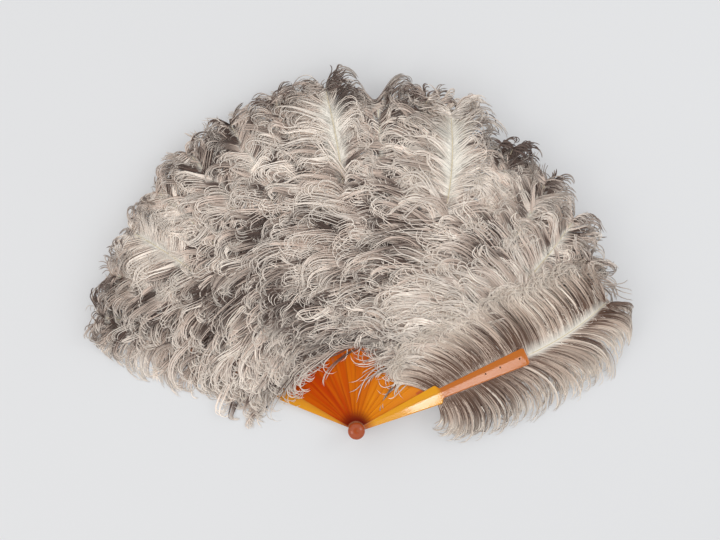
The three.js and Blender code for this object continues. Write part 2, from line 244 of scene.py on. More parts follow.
class SharedEffects:
    """The shader node groups that more than one finish uses.

    Parts of a blade are radii in metres. NOISE pairs are scale and detail, and CLOUD and ROUGH pairs are a gain
    and a base value.
    """

    UPPER_PART = (0.1, 0.107)
    # Painted shade where the sheets stack near the rivet, and a painted reflection of the table on the heads
    STACKED_SHADE_PART = (0.026, 0.011)
    HEAD_REFLECTION_PART = (0.0108, 0.0098)
    STREAK_GRAIN = (9.0, 6.0, 300.0)
    STREAK_NOISE = (1.6, 4.0)
    STREAK_EDGE = (0.35, 0.68)
    # Where the painted backlight grows towards the right of the row
    BACKLIT_SIDE_EDGE = (-0.7, 1.1)
    CLOUD_NOISE = (22.0, 2.0)
    CLOUD = (0.8, 0.6)
    SCUFF_NOISE = (900.0, 2.0)
    SCUFF_ROUGH = (0.14, 0.13)
    SPOT_NOISE = (1200.0, 4.0)
    SPOT_EDGE = (0.4, 0.65)
    SPOT_ROUGH = (0.3, 0.25)

    def __init__(self) -> None:
        """Builds each group once."""
        self.celluloid = self._celluloid()
        self.patina = self._patina()

    def _celluloid(self) -> NodeTree:
        """Amber colour by distance and direction from the rivet: painted backlight, stacked shade, head reflection.

        Returns:
            The node group.
        """
        tree, source, out = new_group(
            "celluloid_painted_light",
            # The sockets carry painted light: a backlit colour and its growth to the right, painted stacked shade,
            # painted head reflection
            dict.fromkeys(("Head", "Deep", "Upper", "Body", "Clear"), COLOUR) | {"Warm Side": VALUE, "Streaks": VALUE},
            {"Color": COLOUR, "Roughness": VALUE, "Height": VALUE},
        )
        sheet = NodeSheet(tree)
        place = sheet.place()
        xyz = sheet.feed(sheet.add("SeparateXYZ"), Vector=place).outputs
        flat = sheet.feed(sheet.add("CombineXYZ"), X=xyz[0], Y=xyz[1])
        radius = sheet.feed(sheet.add("VectorMath", operation="LENGTH"), i0=flat.outputs[0]).outputs["Value"]
        measures = (sheet.math("ARCTAN2", xyz[1], xyz[0]), radius, xyz[2])
        turn, out_along, up = (sheet.math("MULTIPLY", m, g) for m, g in zip(measures, self.STREAK_GRAIN))
        polar = sheet.feed(sheet.add("CombineXYZ"), X=turn, Y=out_along, Z=up).outputs[0]
        # Streaks of grain that let more of the painted backlight through
        streak = sheet.ramp(sheet.noise(polar, *self.STREAK_NOISE), *self.STREAK_EDGE)
        # The painted backlight grows towards the right of the row
        side = sheet.ramp(sheet.math("DIVIDE", xyz[0], radius), *self.BACKLIT_SIDE_EDGE)
        clear = sheet.math("MULTIPLY", streak, source.outputs["Streaks"])
        clear = sheet.math("ADD", clear, sheet.math("MULTIPLY", side, source.outputs["Warm Side"]))
        clear = sheet.math("MULTIPLY", clear, sheet.scaled(sheet.noise(place, *self.CLOUD_NOISE), *self.CLOUD))
        # Body colour, turning to the painted backlight colour where the table would shine through
        colour = sheet.mix(sheet.math("MINIMUM", clear, 1.0), source.outputs["Body"], source.outputs["Clear"])
        # No backlight where blades lie over the plumes; painted shade where sheets stack; painted reflection on the
        # heads
        for part, name in ((self.UPPER_PART, "Upper"), (self.STACKED_SHADE_PART, "Deep"), (self.HEAD_REFLECTION_PART, "Head")):
            colour = sheet.mix(sheet.ramp(radius, *part), colour, source.outputs[name])
        scuff = sheet.noise(place, *self.SCUFF_NOISE)
        rough = sheet.scaled(scuff, *self.SCUFF_ROUGH)
        for name, value in (("Color", colour), ("Roughness", rough), ("Height", scuff)):
            tree.links.new(value, out.inputs[name])
        return tree

    def _patina(self) -> NodeTree:
        """Tarnish on small brass pieces.

        Returns:
            The node group.
        """
        tree, source, out = new_group(
            "brass_patina",
            {"Bright": COLOUR, "Tarnish": COLOUR},
            {"Color": COLOUR, "Roughness": VALUE},
        )
        sheet = NodeSheet(tree)
        spots = sheet.ramp(sheet.noise(sheet.place(), *self.SPOT_NOISE), *self.SPOT_EDGE)
        tree.links.new(sheet.mix(spots, source.outputs["Bright"], source.outputs["Tarnish"]), out.inputs["Color"])
        tree.links.new(sheet.scaled(spots, *self.SPOT_ROUGH), out.inputs["Roughness"])
        return tree


@dataclass(frozen=True)
class AmberFinish:
    """Polished amber celluloid, with painted backlight, painted stacked shade and a painted head reflection in its
    colours.
    """

    name: str
    # Painted reflection of the table on the heads
    head: Colour
    # Painted shade where the sheets stack near the rivet
    deep: Colour
    upper: Colour
    body: Colour
    # Painted backlight where the table shines through thin sheet
    clear: Colour
    # How much the painted backlight grows towards the right of the row
    warm_side: float
    streaks: float
    coat: float
    see_through: float
    shine: float

    def material(self, effects: SharedEffects) -> Material:
        """Builds the celluloid material from the shared group of painted light.

        Args:
            effects: the shared groups.

        Returns:
            The finished material.
        """
        material, sheet, shader = new_material(self.name)
        depth = sheet.add("Group", node_tree=effects.celluloid)
        sheet.feed(depth, Head=self.head, Deep=self.deep, Upper=self.upper, Body=self.body, Clear=self.clear)
        sheet.feed(depth, Warm_Side=self.warm_side, Streaks=self.streaks)
        bump = sheet.feed(sheet.add("Bump"), Height=depth.outputs["Height"], Strength=0.03, Distance=0.0002)
        sheet.feed(
            shader,
            Base_Color=depth.outputs["Color"],
            Roughness=depth.outputs["Roughness"],
            Normal=bump.outputs[0],
            IOR=1.5,
            Coat_Weight=self.coat,
            Coat_Roughness=0.06,
            Transmission_Weight=self.see_through,
            Specular_IOR_Level=self.shine,
        )
        return material


@dataclass(frozen=True)
class BrassFinish:
    """Drawn brass wire with some tarnish."""

    name: str
    bright: Colour
    tarnish: Colour

    def material(self, effects: SharedEffects) -> Material:
        """Builds the brass material from the shared patina group.

        Args:
            effects: the shared groups.

        Returns:
            The finished material.
        """
        material, sheet, shader = new_material(self.name)
        patina = sheet.add("Group", node_tree=effects.patina)
        sheet.feed(patina, Bright=self.bright, Tarnish=self.tarnish)
        sheet.feed(
            shader, Base_Color=patina.outputs["Color"], Roughness=patina.outputs["Roughness"], Metallic=1.0
        )
        return material


BARB_VALUES = ("along", "white", "tone", "dusk", "dark_tip")


@dataclass(frozen=True)
class BarbFinish:
    """Ostrich barbs: ivory at the shaft, grey brown in the middle, cream or dark at the curled ends.

    Brightness and roughness are a gain and a base value, and noise is a scale and a detail.
    """

    name: str = "ostrich_barbs"
    ivory: Colour = srgb(244, 238, 227)
    cream: Colour = srgb(255, 243, 231)
    grey: Colour = srgb(222, 202, 188)
    umber: Colour = srgb(94, 76, 68)
    dark_end: Colour = srgb(102, 82, 74)
    root_part: Pair = (0.6, 0.2)
    root_dusk: float = 0.24
    dusk_shift: float = -0.1
    grey_dusk: float = 0.45
    end_part: Pair = (0.5, 0.92)
    brightness: Pair = (0.5, 0.72)
    noise: Pair = (700.0, 2.0)
    roughness: Pair = (0.35, 0.55)

    def material(self) -> Material:
        """Builds the barb material, which reads the strands' own values.

        Returns:
            The finished material.
        """
        material, sheet, shader = new_material(self.name)
        along, white, tone, dusk, dark_tip = (sheet.attribute(name) for name in BARB_VALUES)
        shifted = sheet.math("ADD", dusk, self.dusk_shift)
        inner = sheet.math("MULTIPLY_ADD", sheet.ramp(along, *self.root_part), self.root_dusk, shifted)
        pale = sheet.mix(sheet.ramp(inner, 0.0, self.grey_dusk), self.cream, self.grey)
        middle = sheet.mix(sheet.ramp(inner, self.grey_dusk, 1.0), pale, self.umber)
        end = sheet.mix(dark_tip, self.cream, self.dark_end)
        outward = sheet.mix(sheet.ramp(along, *self.end_part), middle, end)
        shaded = sheet.add("HueSaturation")
        sheet.feed(shaded, Color=sheet.mix(white, outward, self.ivory), Value=sheet.scaled(tone, *self.brightness))
        sheet.feed(
            shader,
            Base_Color=shaded.outputs[0],
            Roughness=sheet.scaled(sheet.noise(sheet.place(), *self.noise), *self.roughness),
            Specular_IOR_Level=0.18,
            Sheen_Weight=0.1,
            Sheen_Roughness=0.5,
        )
        return material


@dataclass(frozen=True)
class ShaftFinish:
    """Horny ivory of the quill, darker where it is bare near the blade.

    Roughness is a gain and a base value, and noise is a scale and a detail.
    """

    name: str = "quill_horn"
    pale: Colour = srgb(228, 214, 184)
    horn: Colour = srgb(206, 184, 132)
    noise: Pair = (400.0, 3.0)
    grain_shade: float = 0.25
    bare_part: Pair = (0.45, 0.0)
    roughness: Pair = (0.2, 0.28)

    def material(self) -> Material:
        """Builds the quill material along the shaft's own attribute.

        Returns:
            The finished material.
        """
        material, sheet, shader = new_material(self.name)
        grain = sheet.noise(sheet.place(), *self.noise)
        bare = sheet.ramp(sheet.attribute("along"), *self.bare_part)
        sheet.feed(
            shader,
            Base_Color=sheet.mix(sheet.scaled(grain, self.grain_shade, bare), self.pale, self.horn),
            Roughness=sheet.scaled(grain, *self.roughness),
            Coat_Weight=0.2,
        )
        return material


@dataclass(frozen=True)
class SilkFinish:
    """Plain woven silk of the ribbon, on the ribbon's own UV map."""

    name: str = "ribbon_silk"
    thread: Colour = srgb(208, 98, 8)
    shadow: Colour = srgb(184, 80, 4)
    threads_along: float = 60.0
    threads_across: float = 50.0
    roughness: Pair = (0.2, 0.4)

    def material(self) -> Material:
        """Builds the woven material from two sets of threads.

        Returns:
            The finished material.
        """
        material, sheet, shader = new_material(self.name)
        uv = sheet.feed(sheet.add("SeparateXYZ"), Vector=sheet.add("TexCoord").outputs["UV"]).outputs
        warp = sheet.math("SINE", sheet.math("MULTIPLY", uv[0], self.threads_along * math.tau))
        weft = sheet.math("SINE", sheet.math("MULTIPLY", uv[1], self.threads_across * math.tau))
        weave = sheet.ramp(sheet.math("MULTIPLY", warp, weft), -1.0, 1.0)
        bump = sheet.feed(sheet.add("Bump"), Height=weave, Strength=0.3, Distance=0.00005)
        sheet.feed(
            shader,
            Base_Color=sheet.mix(weave, self.shadow, self.thread),
            Roughness=sheet.scaled(weave, *self.roughness),
            Normal=bump.outputs[0],
            Sheen_Weight=0.05,
        )
        return material


@dataclass
class Palette:
    """Every material of the fan, made once."""

    effects: SharedEffects = field(default_factory=SharedEffects)

    def __post_init__(self) -> None:
        """Builds the materials from their finishes."""
        # Painted reflection of the table on the blades' heads
        painted_head_reflection = srgb(184, 118, 84)
        # Stick colours: maroon painted shade near the rivet, yellow painted backlight through the gorge
        self.stick = AmberFinish(
            "stick_amber", head=painted_head_reflection, deep=srgb(136, 34, 4), upper=srgb(190, 72, 0), body=srgb(192, 62, 0),
            clear=srgb(240, 150, 10), warm_side=0.7, streaks=0.24, coat=0.0, see_through=0.05, shine=0.08,
        ).material(self.effects)
        # Guard colours: its gorge body is yellower than its upper part, a painted backlight from the table under it
        self.guard = AmberFinish(
            "guard_amber", head=painted_head_reflection, deep=srgb(190, 96, 10), upper=srgb(196, 108, 30), body=srgb(226, 146, 8),
            clear=srgb(240, 168, 24), warm_side=0.4, streaks=0.4, coat=0.4, see_through=0.05, shine=0.5,
        ).material(self.effects)
        ball = srgb(174, 76, 26)
        self.button = AmberFinish(
            "button_amber", head=ball, deep=ball, upper=ball, body=ball,
            clear=srgb(190, 92, 34), warm_side=0.2, streaks=0.4, coat=0.3, see_through=0.05, shine=0.4,
        ).material(self.effects)
        self.barb = BarbFinish().material()
        self.front_barb = BarbFinish(
            "front_ostrich_barbs", cream=srgb(255, 242, 228), grey=srgb(219, 197, 180), umber=srgb(106, 80, 66),
            dark_end=srgb(110, 85, 71),
        ).material()
        self.shaft = ShaftFinish().material()
        self.silk = SilkFinish().material()
        self.rivet = BrassFinish("rivet_brass", srgb(190, 150, 84), srgb(110, 82, 44)).material(self.effects)
        self.pin = BrassFinish("pin_brass", srgb(110, 74, 46), srgb(62, 40, 28)).material(self.effects)


def dress(obj: Object, material: Material) -> Object:
    """Gives an object one material.

    Args:
        obj: the object.
        material: its material.

    Returns:
        The same object.
    """
    obj.data.materials.clear()
    obj.data.materials.append(material)
    return obj


def new_object(name: str, data: ID) -> Object:
    """Puts data into the scene.

    Args:
        name: the object's name.
        data: a mesh, curve, camera or lamp.

    Returns:
        The new object.
    """
    obj = bpy.data.objects.new(name, data)
    bpy.context.scene.collection.objects.link(obj)
    return obj


def mount(piece: Object, body: str, node: str) -> Object:
    """Lets a piece ride on a body in a node's place.

    Args:
        piece: the finished piece.
        body: the body it moves with.
        node: the frame's node that it stands for.

    Returns:
        The same piece.
    """
    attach(piece, body)
    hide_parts(node)
    return piece


def mesh_of(bm: bmesh.types.BMesh, name: str, sharp_deg: float = 35.0) -> Mesh:
    """Turns a bmesh into a mesh that shades smooth up to an angle, and frees the bmesh.

    Args:
        bm: the bmesh to use up.
        name: the mesh's name.
        sharp_deg: edges sharper than this stay sharp.

    Returns:
        The new mesh.
    """
    mesh = bpy.data.meshes.new(name)
    bm.to_mesh(mesh)
    bm.free()
    mesh.shade_smooth()
    mesh.set_sharp_from_angle(angle=math.radians(sharp_deg))
    return mesh


def turned(name: str, profile: list[Pair], centre: Vector, steps: int) -> Mesh:
    """Spins a profile about an upright axis into a closed shape.

    Args:
        name: the mesh's name.
        profile: radius and height of each point, from axis to axis.
        centre: where the profile's zero lies.
        steps: sides of the round shape.

    Returns:
        The mesh, with its faces pointing out.
    """
    bm = bmesh.new()
    points = [bm.verts.new((radius, 0, height)) for radius, height in profile]
    edges = [bm.edges.new(pair) for pair in zip(points, points[1:])]
    bmesh.ops.spin(
        bm, geom=points + edges, cent=(0, 0, 0), axis=(0, 0, 1), angle=math.tau, steps=steps, use_merge=True
    )
    bmesh.ops.remove_doubles(bm, verts=bm.verts, dist=MERGE)
    bmesh.ops.recalc_face_normals(bm, faces=bm.faces)
    bmesh.ops.translate(bm, verts=bm.verts, vec=centre)
    return mesh_of(bm, name)


@dataclass
class Spread:
    """How the blades lie around the rivet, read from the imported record. The hem is in millimetres."""

    spread_deg: float = 0.0
    stick_count: int = 0
    rim_swell: float = 3 * MM
    scallop: float = 4 * MM
    tip_lean: float = 0.27
    parting: float = 7.66
    parting_width: float = 0.32
    parting_depth: float = 46 * MM
    hem_x: tuple[float, ...] = (-340, -312, -254, -151, -110, -70, 90, 112, 135, 200, 279, 303, 312)
    hem_y: tuple[float, ...] = (106, 92, 46, 2, -10, -26, -26, -19, -17, -2, 33, 74, 116)
    hem_depth: float = 12 * MM
    front_side: float = 314 * MM

    def __post_init__(self) -> None:
        """Reads the fold range and the number of sticks."""
        joints = {j["name"]: j for j in frame["joints"]}
        self.spread_deg = joints["front_guard_fold"]["range_deg"][1]
        self.stick_count = len(joints) - 1
        self.reaches = [self._reach(self.nodes(i)[1]) for i in range(self.last + 1)]

    @staticmethod
    def _reach(node: str) -> float:
        """How far a plume's solid reaches from the rivet."""
        return max(math.hypot(v.co.x, v.co.y) for v in frame["nodes"][node].data.vertices)

    @property
    def last(self) -> int:
        """The front guard's place in the row of blades."""
        return self.stick_count + 1

    def place(self, x: Array, y: Array) -> Array:
        """Place in the row of blades, from the back guard at 0 to the front guard."""
        first, last = self.turn(0), self.turn(self.last)
        return (first - np.arctan2(y, x)) / (first - last) * self.last

    def rim(self, place: Array) -> Array:
        """How far from the rivet barbs may reach, less between two plumes than at their tips.

        Args:
            place: place in the row of blades.

        Returns:
            The largest radius there.
        """
        reach = np.interp(place, np.arange(self.last + 1), self.reaches)
        scallop = self.scallop * np.sin(math.pi * (place + self.tip_lean)) ** 2
        parted = self.parting_depth * np.exp(-(((place - self.parting) / self.parting_width) ** 2))
        return reach + self.rim_swell - scallop - parted

    def hem(self, x: Array, y: Array) -> tuple[Array, Array]:
        """Combs barbs in along the two outer plumes' lower edges.

        Args:
            x: where points are across the row.
            y: where they are along its middle line.

        Returns:
            Both, combed in.
        """
        beyond = np.clip(x - self.front_side + self.hem_depth, 0, None)
        x = x - beyond + soft_limit(beyond, self.hem_depth)
        line = np.interp(x, np.array(self.hem_x) * MM, np.array(self.hem_y) * MM) + self.hem_depth
        below = np.clip(line - y, 0, None)
        return x, y + below - soft_limit(below, self.hem_depth)

    def turn(self, index: float) -> float:
        """Direction of a blade in radians, counted from the back guard."""
        return math.radians(90 + self.spread_deg / 2 - index * self.spread_deg / self.last)

    def is_guard(self, index: int) -> bool:
        """Whether a blade is one of the two outer ones."""
        return index in (0, self.last)

    def nodes(self, index: int) -> tuple[str, str, str]:
        """Names of a blade's node, its plume's node and its body.

        Args:
            index: the blade's place, 0 for the back guard.

        Returns:
            The three names.
        """
        if index == 0:
            return "back_guard", "back_guard_plume", "back_guard_body"
        if index == self.last:
            return "front_guard", "front_guard_plume", "front_guard_body"
        return f"stick_{index:02d}", f"plume_{index:02d}", f"stick_{index:02d}_body"


@dataclass
class Blade:
    """A stick or guard: the frame's own solid with its edges polished round."""

    node: str
    body: str
    slot: str
    edge_round: float
    flat_deg: float = 1.0
    edge_deg: float = 20.0
    shade_deg: float = 40.0

    def build(self, material: Material) -> Object:
        """Copies the solid, rounds its edges and dresses it.

        Args:
            material: the amber it is made of.

        Returns:
            The polished blade.
        """
        bm = bmesh.new()
        bm.from_mesh(frame["nodes"][self.node].data)
        bmesh.ops.remove_doubles(bm, verts=bm.verts, dist=MERGE)
        bmesh.ops.dissolve_limit(bm, angle_limit=math.radians(self.flat_deg), verts=bm.verts, edges=bm.edges)
        edges = [e for e in bm.edges if e.is_manifold and e.calc_face_angle() > math.radians(self.edge_deg)]
        bmesh.ops.bevel(
            bm, geom=edges, offset=self.edge_round, segments=2, profile=0.5, affect="EDGES", material=-1,
            clamp_overlap=True,
        )
        name = self.node + "_polished"
        piece = dress(new_object(name, mesh_of(bm, name, self.shade_deg)), material)
        piece.modifiers.new("even_shading", "WEIGHTED_NORMAL").keep_sharp = True
        return mount(piece, self.body, self.node)


@dataclass
class RivetSet:
    """The rivet, the ball-like front button and the flat back button."""

    sides: int = 72
    dome_steps: int = 14
    tuck_deg: float = 34.0
    lip: float = 0.35 * MM
    flat_share: float = 0.65

    def build(self, palette: Palette) -> list[Object]:
        """Makes both buttons and dresses the rivet."""
        dress(frame["nodes"]["rivet_pin"], palette.rivet)
        return [self._front(palette.button), self._back(palette.button)]

    def _front(self, material: Material) -> Object:
        """The glossy knob over the rivet's front end.

        Args:
            material: the amber it is made of.

        Returns:
            The knob.
        """
        low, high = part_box("front_button")
        radius, height, tuck = high.x, high.z - low.z, math.radians(self.tuck_deg)
        crown = height / (1 + math.sin(tuck))
        profile = [(0.0, 0.0), (radius * math.cos(tuck) - self.lip, 0.0)]
        for i in range(1, self.dome_steps + 1):
            turn = -tuck + (math.pi / 2 + tuck) * i / self.dome_steps
            profile.append((radius * math.cos(turn), crown * (math.sin(tuck) + math.sin(turn))))
        profile[-1] = (0.0, height)
        return self._piece("front_button", profile, Vector((0, 0, low.z)), material)

    def _back(self, material: Material) -> Object:
        """The low cap that the fan lies on.

        Args:
            material: the amber it is made of.

        Returns:
            The cap.
        """
        low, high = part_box("back_button")
        radius, height = high.x, high.z - low.z
        flat = radius * self.flat_share
        profile = [(0.0, 0.0)]
        for i in range(self.dome_steps + 1):
            turn = math.pi / 2 * i / self.dome_steps
            profile.append((flat + (radius - flat) * math.sin(turn), (height - self.lip) * (1 - math.cos(turn))))
        profile += [(radius - self.lip, height), (0.0, height)]
        return self._piece("back_button", profile, Vector((0, 0, low.z)), material)

    def _piece(self, node: str, profile: list[Pair], centre: Vector, material: Material) -> Object:
        """Spins a button, dresses it and lets it ride on the back guard."""
        piece = dress(new_object(node + "_turned", turned(node, profile, centre, self.sides)), material)
        return mount(piece, "back_guard_body", node)


@dataclass
class QuillPins:
    """The three small domed pins in each guard."""

    count: int = 3
    sides: int = 20
    dome_steps: int = 5
    head_rise: float = 0.25 * MM

    def build(self, material: Material) -> list[Object]:
        """Makes all pins of both guards.

        Args:
            material: the brass they are made of.

        Returns:
            The pins.
        """
        return [
            self._pin(f"{side}_guard_pin_{i + 1}", f"{side}_guard_body", outward, material)
            for side, outward in (("back", -1), ("front", 1))
            for i in range(self.count)
        ]

    def _pin(self, node: str, body: str, outward: int, material: Material) -> Object:
        """One pin with a domed head on the guard's outer face.

        Args:
            node: the pin's node.
            body: its guard's body.
            outward: 1 for a head that looks up, -1 for down.
            material: the brass it is made of.

        Returns:
            The pin.
        """
        low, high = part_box(node)
        middle = (low + high) / 2
        radius, half = (high.x - low.x) / 2, (high.z - low.z) / 2
        profile = [(0.0, -half), (radius, -half)]
        for i in range(self.dome_steps + 1):
            turn = math.pi / 2 * i / self.dome_steps
            profile.append((radius * math.cos(turn), half + self.head_rise * math.sin(turn)))
        profile[-1] = (0.0, half + self.head_rise)
        if outward < 0:
            profile = [(r, -h) for r, h in profile]
        piece = dress(new_object(node + "_domed", turned(node, profile, middle, self.sides)), material)
        return mount(piece, body, node)


@dataclass
class Ribbons:
    """The silk strips that link each blade to the next."""

    spread: Spread
    steps: int = 8
    rows: int = 4
    thickness: float = 0.12 * MM
    folded_share: float = 0.2

    def build(self, material: Material) -> list[Object]:
        """Makes the strip between each two neighbours."""
        return [self._strip(k, material) for k in range(1, self.spread.last + 1)]

    def _strip(self, k: int, material: Material) -> Object:
        """One strip, from the lower blade's middle line to the upper one's.

        Args:
            k: the upper blade's place in the row.
            material: the silk it is made of.

        Returns:
            The strip.
        """
        node = f"ribbon_{k:02d}"
        points = np.array([v.co[:] for v in frame["nodes"][node].data.vertices])
        reach = np.hypot(points[:, 0], points[:, 1])
        inner, outer = reach.min(), reach.max()
        middle_z = (points[:, 2].min() + points[:, 2].max()) / 2
        start, end = self.spread.turn(k - 1), self.spread.turn(k)
        bm = bmesh.new()
        uv = bm.loops.layers.uv.new("weave")
        bmesh.ops.create_grid(bm, x_segments=self.steps, y_segments=self.rows, size=0.5)
        for face in bm.faces:
            for loop in face.loops:
                loop[uv].uv = (loop.vert.co.x + 0.5, loop.vert.co.y + 0.5)
        for vert in bm.verts:
            turn = start + (end - start) * (vert.co.x + 0.5)
            radius = inner + (outer - inner) * (vert.co.y + 0.5)
            vert.co = (radius * math.cos(turn), radius * math.sin(turn), middle_z - self.thickness / 2)
        bmesh.ops.recalc_face_normals(bm, faces=bm.faces)
        bmesh.ops.solidify(bm, geom=bm.faces, thickness=self.thickness)
        lower, _, body = self.spread.nodes(k - 1)
        piece = dress(new_object(node + "_silk", mesh_of(bm, node + "_silk")), material)
        mount(piece, body, node)
        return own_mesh(piece)


@dataclass(frozen=True)
class BarbLayer:
    """One layer of barb locks along a plume's shaft. Angles are in degrees."""

    lock_spacing: float
    barbs_per_lock: int
    length: float
    shortest: float
    lift: float
    sweep: float
    sweep_spread: float
    bend: float
    bend_spread: float
    hook_length: float
    hook: float
    hook_spread: float
    forward_hooks: float
    clump: float
    scatter: float
    half_width: float
    dusk: float
    loose: float = 0.06
    whiteness: float = 0.0
    sweep_power: float = 1.2
    hangs: bool = False
    uneven: float = 1.0
    first_share: float = 0.0
    last_share: float = 1.0
    turn_back: float = 0.0
    tied: bool = False
    sides: tuple[Side, ...] = (Side.LEFT, Side.RIGHT)


class Barbs(Enum):
    """The layers a plume can carry."""

    UNDER = BarbLayer(
        lock_spacing=6.5 * MM, barbs_per_lock=5, length=90 * MM, shortest=0.7, lift=2, sweep=36, sweep_spread=6,
        bend=46, bend_spread=20, hook_length=16 * MM, hook=40, hook_spread=25, forward_hooks=0.1,
        clump=0.1, scatter=0.4 * MM, half_width=0.85 * MM, dusk=0.26,
    )
    BASE = BarbLayer(
        lock_spacing=7 * MM, barbs_per_lock=5, length=66 * MM, shortest=0.7, lift=4, sweep=36, sweep_spread=10,
        bend=40, bend_spread=20, hook_length=16 * MM, hook=60, hook_spread=30, forward_hooks=0.1,
        clump=0.1, scatter=0.4 * MM, half_width=0.66 * MM, dusk=0.22, last_share=0.5, tied=True, first_share=0.03,
    )
    RIM = BarbLayer(
        lock_spacing=5 * MM, barbs_per_lock=6, length=76 * MM, shortest=0.6, lift=3, sweep=2, sweep_spread=12,
        bend=6, bend_spread=16, hook_length=13 * MM, hook=110, hook_spread=55, forward_hooks=0.25,
        clump=0.1, scatter=0.4 * MM, half_width=0.7 * MM, dusk=0.26, first_share=0.7,
    )
    MIDDLE = BarbLayer(
        lock_spacing=8 * MM, barbs_per_lock=7, length=100 * MM, shortest=0.55, lift=7, sweep=40, sweep_spread=15,
        bend=60, bend_spread=30, hook_length=24 * MM, hook=70, hook_spread=40, forward_hooks=0.18,
        clump=0.35, scatter=0.5 * MM, half_width=0.6 * MM, dusk=0.24, tied=True, loose=0.04, first_share=0.04,
    )
    UPPER = BarbLayer(
        lock_spacing=9 * MM, barbs_per_lock=7, length=100 * MM, shortest=0.45, lift=12, sweep=42, sweep_spread=18,
        bend=72, bend_spread=35, hook_length=25 * MM, hook=100, hook_spread=45, forward_hooks=0.2,
        clump=0.4, scatter=0.5 * MM, half_width=0.6 * MM, dusk=0.06, tied=True, loose=0.04, first_share=0.045,
        uneven=0.8,
    )
    FRILL = BarbLayer(
        lock_spacing=12 * MM, barbs_per_lock=4, length=86 * MM, shortest=0.45, lift=18, sweep=44, sweep_spread=24,
        bend=72, bend_spread=40, hook_length=22 * MM, hook=130, hook_spread=45, forward_hooks=0.25,
        clump=0.3, scatter=0.7 * MM, half_width=0.54 * MM, dusk=-0.3, tied=True, loose=0.05, first_share=0.05,
    )
    DOWN = BarbLayer(
        lock_spacing=3 * MM, barbs_per_lock=4, length=42 * MM, shortest=0.35, lift=7, sweep=20, sweep_spread=8,
        bend=24, bend_spread=12, hook_length=8 * MM, hook=30, hook_spread=25, forward_hooks=0.2,
        clump=0.1, scatter=0.7 * MM, half_width=0.42 * MM, dusk=-0.3, first_share=0.62, whiteness=0.65, loose=0.12,
    )
    NEAT = BarbLayer(
        lock_spacing=18 * MM, barbs_per_lock=14, length=86 * MM, shortest=0.8, lift=6, sweep=58, sweep_spread=3,
        bend=34, bend_spread=10, hook_length=16 * MM, hook=30, hook_spread=25, forward_hooks=0.04,
        clump=0.2, scatter=0.2 * MM, half_width=0.55 * MM, dusk=0.47, loose=0.015, sides=(Side.RIGHT,), sweep_power=1.1,
    )
    # Dark brown under-barbs of the front plume: plumage, and painted shade that fills the gaps between its barbs
    SHADE_LINING = BarbLayer(
        lock_spacing=9 * MM, barbs_per_lock=7, length=80 * MM, shortest=0.86, lift=2, sweep=56, sweep_spread=4,
        bend=24, bend_spread=8, hook_length=14 * MM, hook=20, hook_spread=20, forward_hooks=0.04,
        clump=0.0, scatter=0.2 * MM, half_width=0.85 * MM, dusk=0.42, loose=0.03,
    )
    LINES = BarbLayer(
        lock_spacing=2.4 * MM, barbs_per_lock=3, length=95 * MM, shortest=0.84, lift=7, sweep=58, sweep_spread=3,
        bend=34, bend_spread=6, hook_length=16 * MM, hook=40, hook_spread=20, forward_hooks=0.0, clump=0.5,
        scatter=0.2 * MM, half_width=0.5 * MM, dusk=0.33, loose=0.015, sides=(Side.RIGHT,), sweep_power=1.1, uneven=0.6,
    )
    SKIRT = BarbLayer(
        lock_spacing=5 * MM, barbs_per_lock=7, length=100 * MM, shortest=0.85, lift=3, sweep=46, sweep_spread=5,
        bend=24, bend_spread=10, hook_length=14 * MM, hook=40, hook_spread=25, forward_hooks=0.05,
        clump=0.12, scatter=0.3 * MM, half_width=0.6 * MM, dusk=0.02, loose=0.03, sides=(Side.LEFT,), last_share=0.9,
    )
    CREST = BarbLayer(
        lock_spacing=2.3 * MM, barbs_per_lock=3, length=103 * MM, shortest=0.94, lift=8, sweep=62, sweep_spread=5,
        bend=0, bend_spread=3, hook_length=33 * MM, hook=175, hook_spread=10, forward_hooks=0.97,
        clump=0.5, scatter=0.2 * MM, half_width=0.5 * MM, dusk=0.25, loose=0.03, sides=(Side.LEFT,),
        sweep_power=0.85, uneven=0.25,
    )
    LOOP = BarbLayer(
        lock_spacing=4 * MM, barbs_per_lock=3, length=140 * MM, shortest=0.5, lift=12, sweep=16, sweep_spread=20,
        bend=18, bend_spread=30, hook_length=28 * MM, hook=160, hook_spread=50, forward_hooks=0.08,
        clump=0.1, scatter=2 * MM, half_width=0.55 * MM, dusk=-0.1, last_share=0.08, turn_back=16,
        sides=(Side.LEFT,), hangs=True,
    )
    DRAPE = BarbLayer(
        lock_spacing=3.5 * MM, barbs_per_lock=3, length=112 * MM, shortest=0.45, lift=12, sweep=6, sweep_spread=14,
        bend=8, bend_spread=36, hook_length=24 * MM, hook=70, hook_spread=90, forward_hooks=0.3,
        clump=0.1, scatter=2 * MM, half_width=0.55 * MM, dusk=-0.05, last_share=0.08, turn_back=37,
        sides=(Side.LEFT,), hangs=True, loose=0.07,
    )


@dataclass(frozen=True)
class Marking:
    """A round patch of the plumage in the row frame, darker where its dusk is above 0 and paler below."""

    x: float
    y: float
    radius: float
    dusk: float


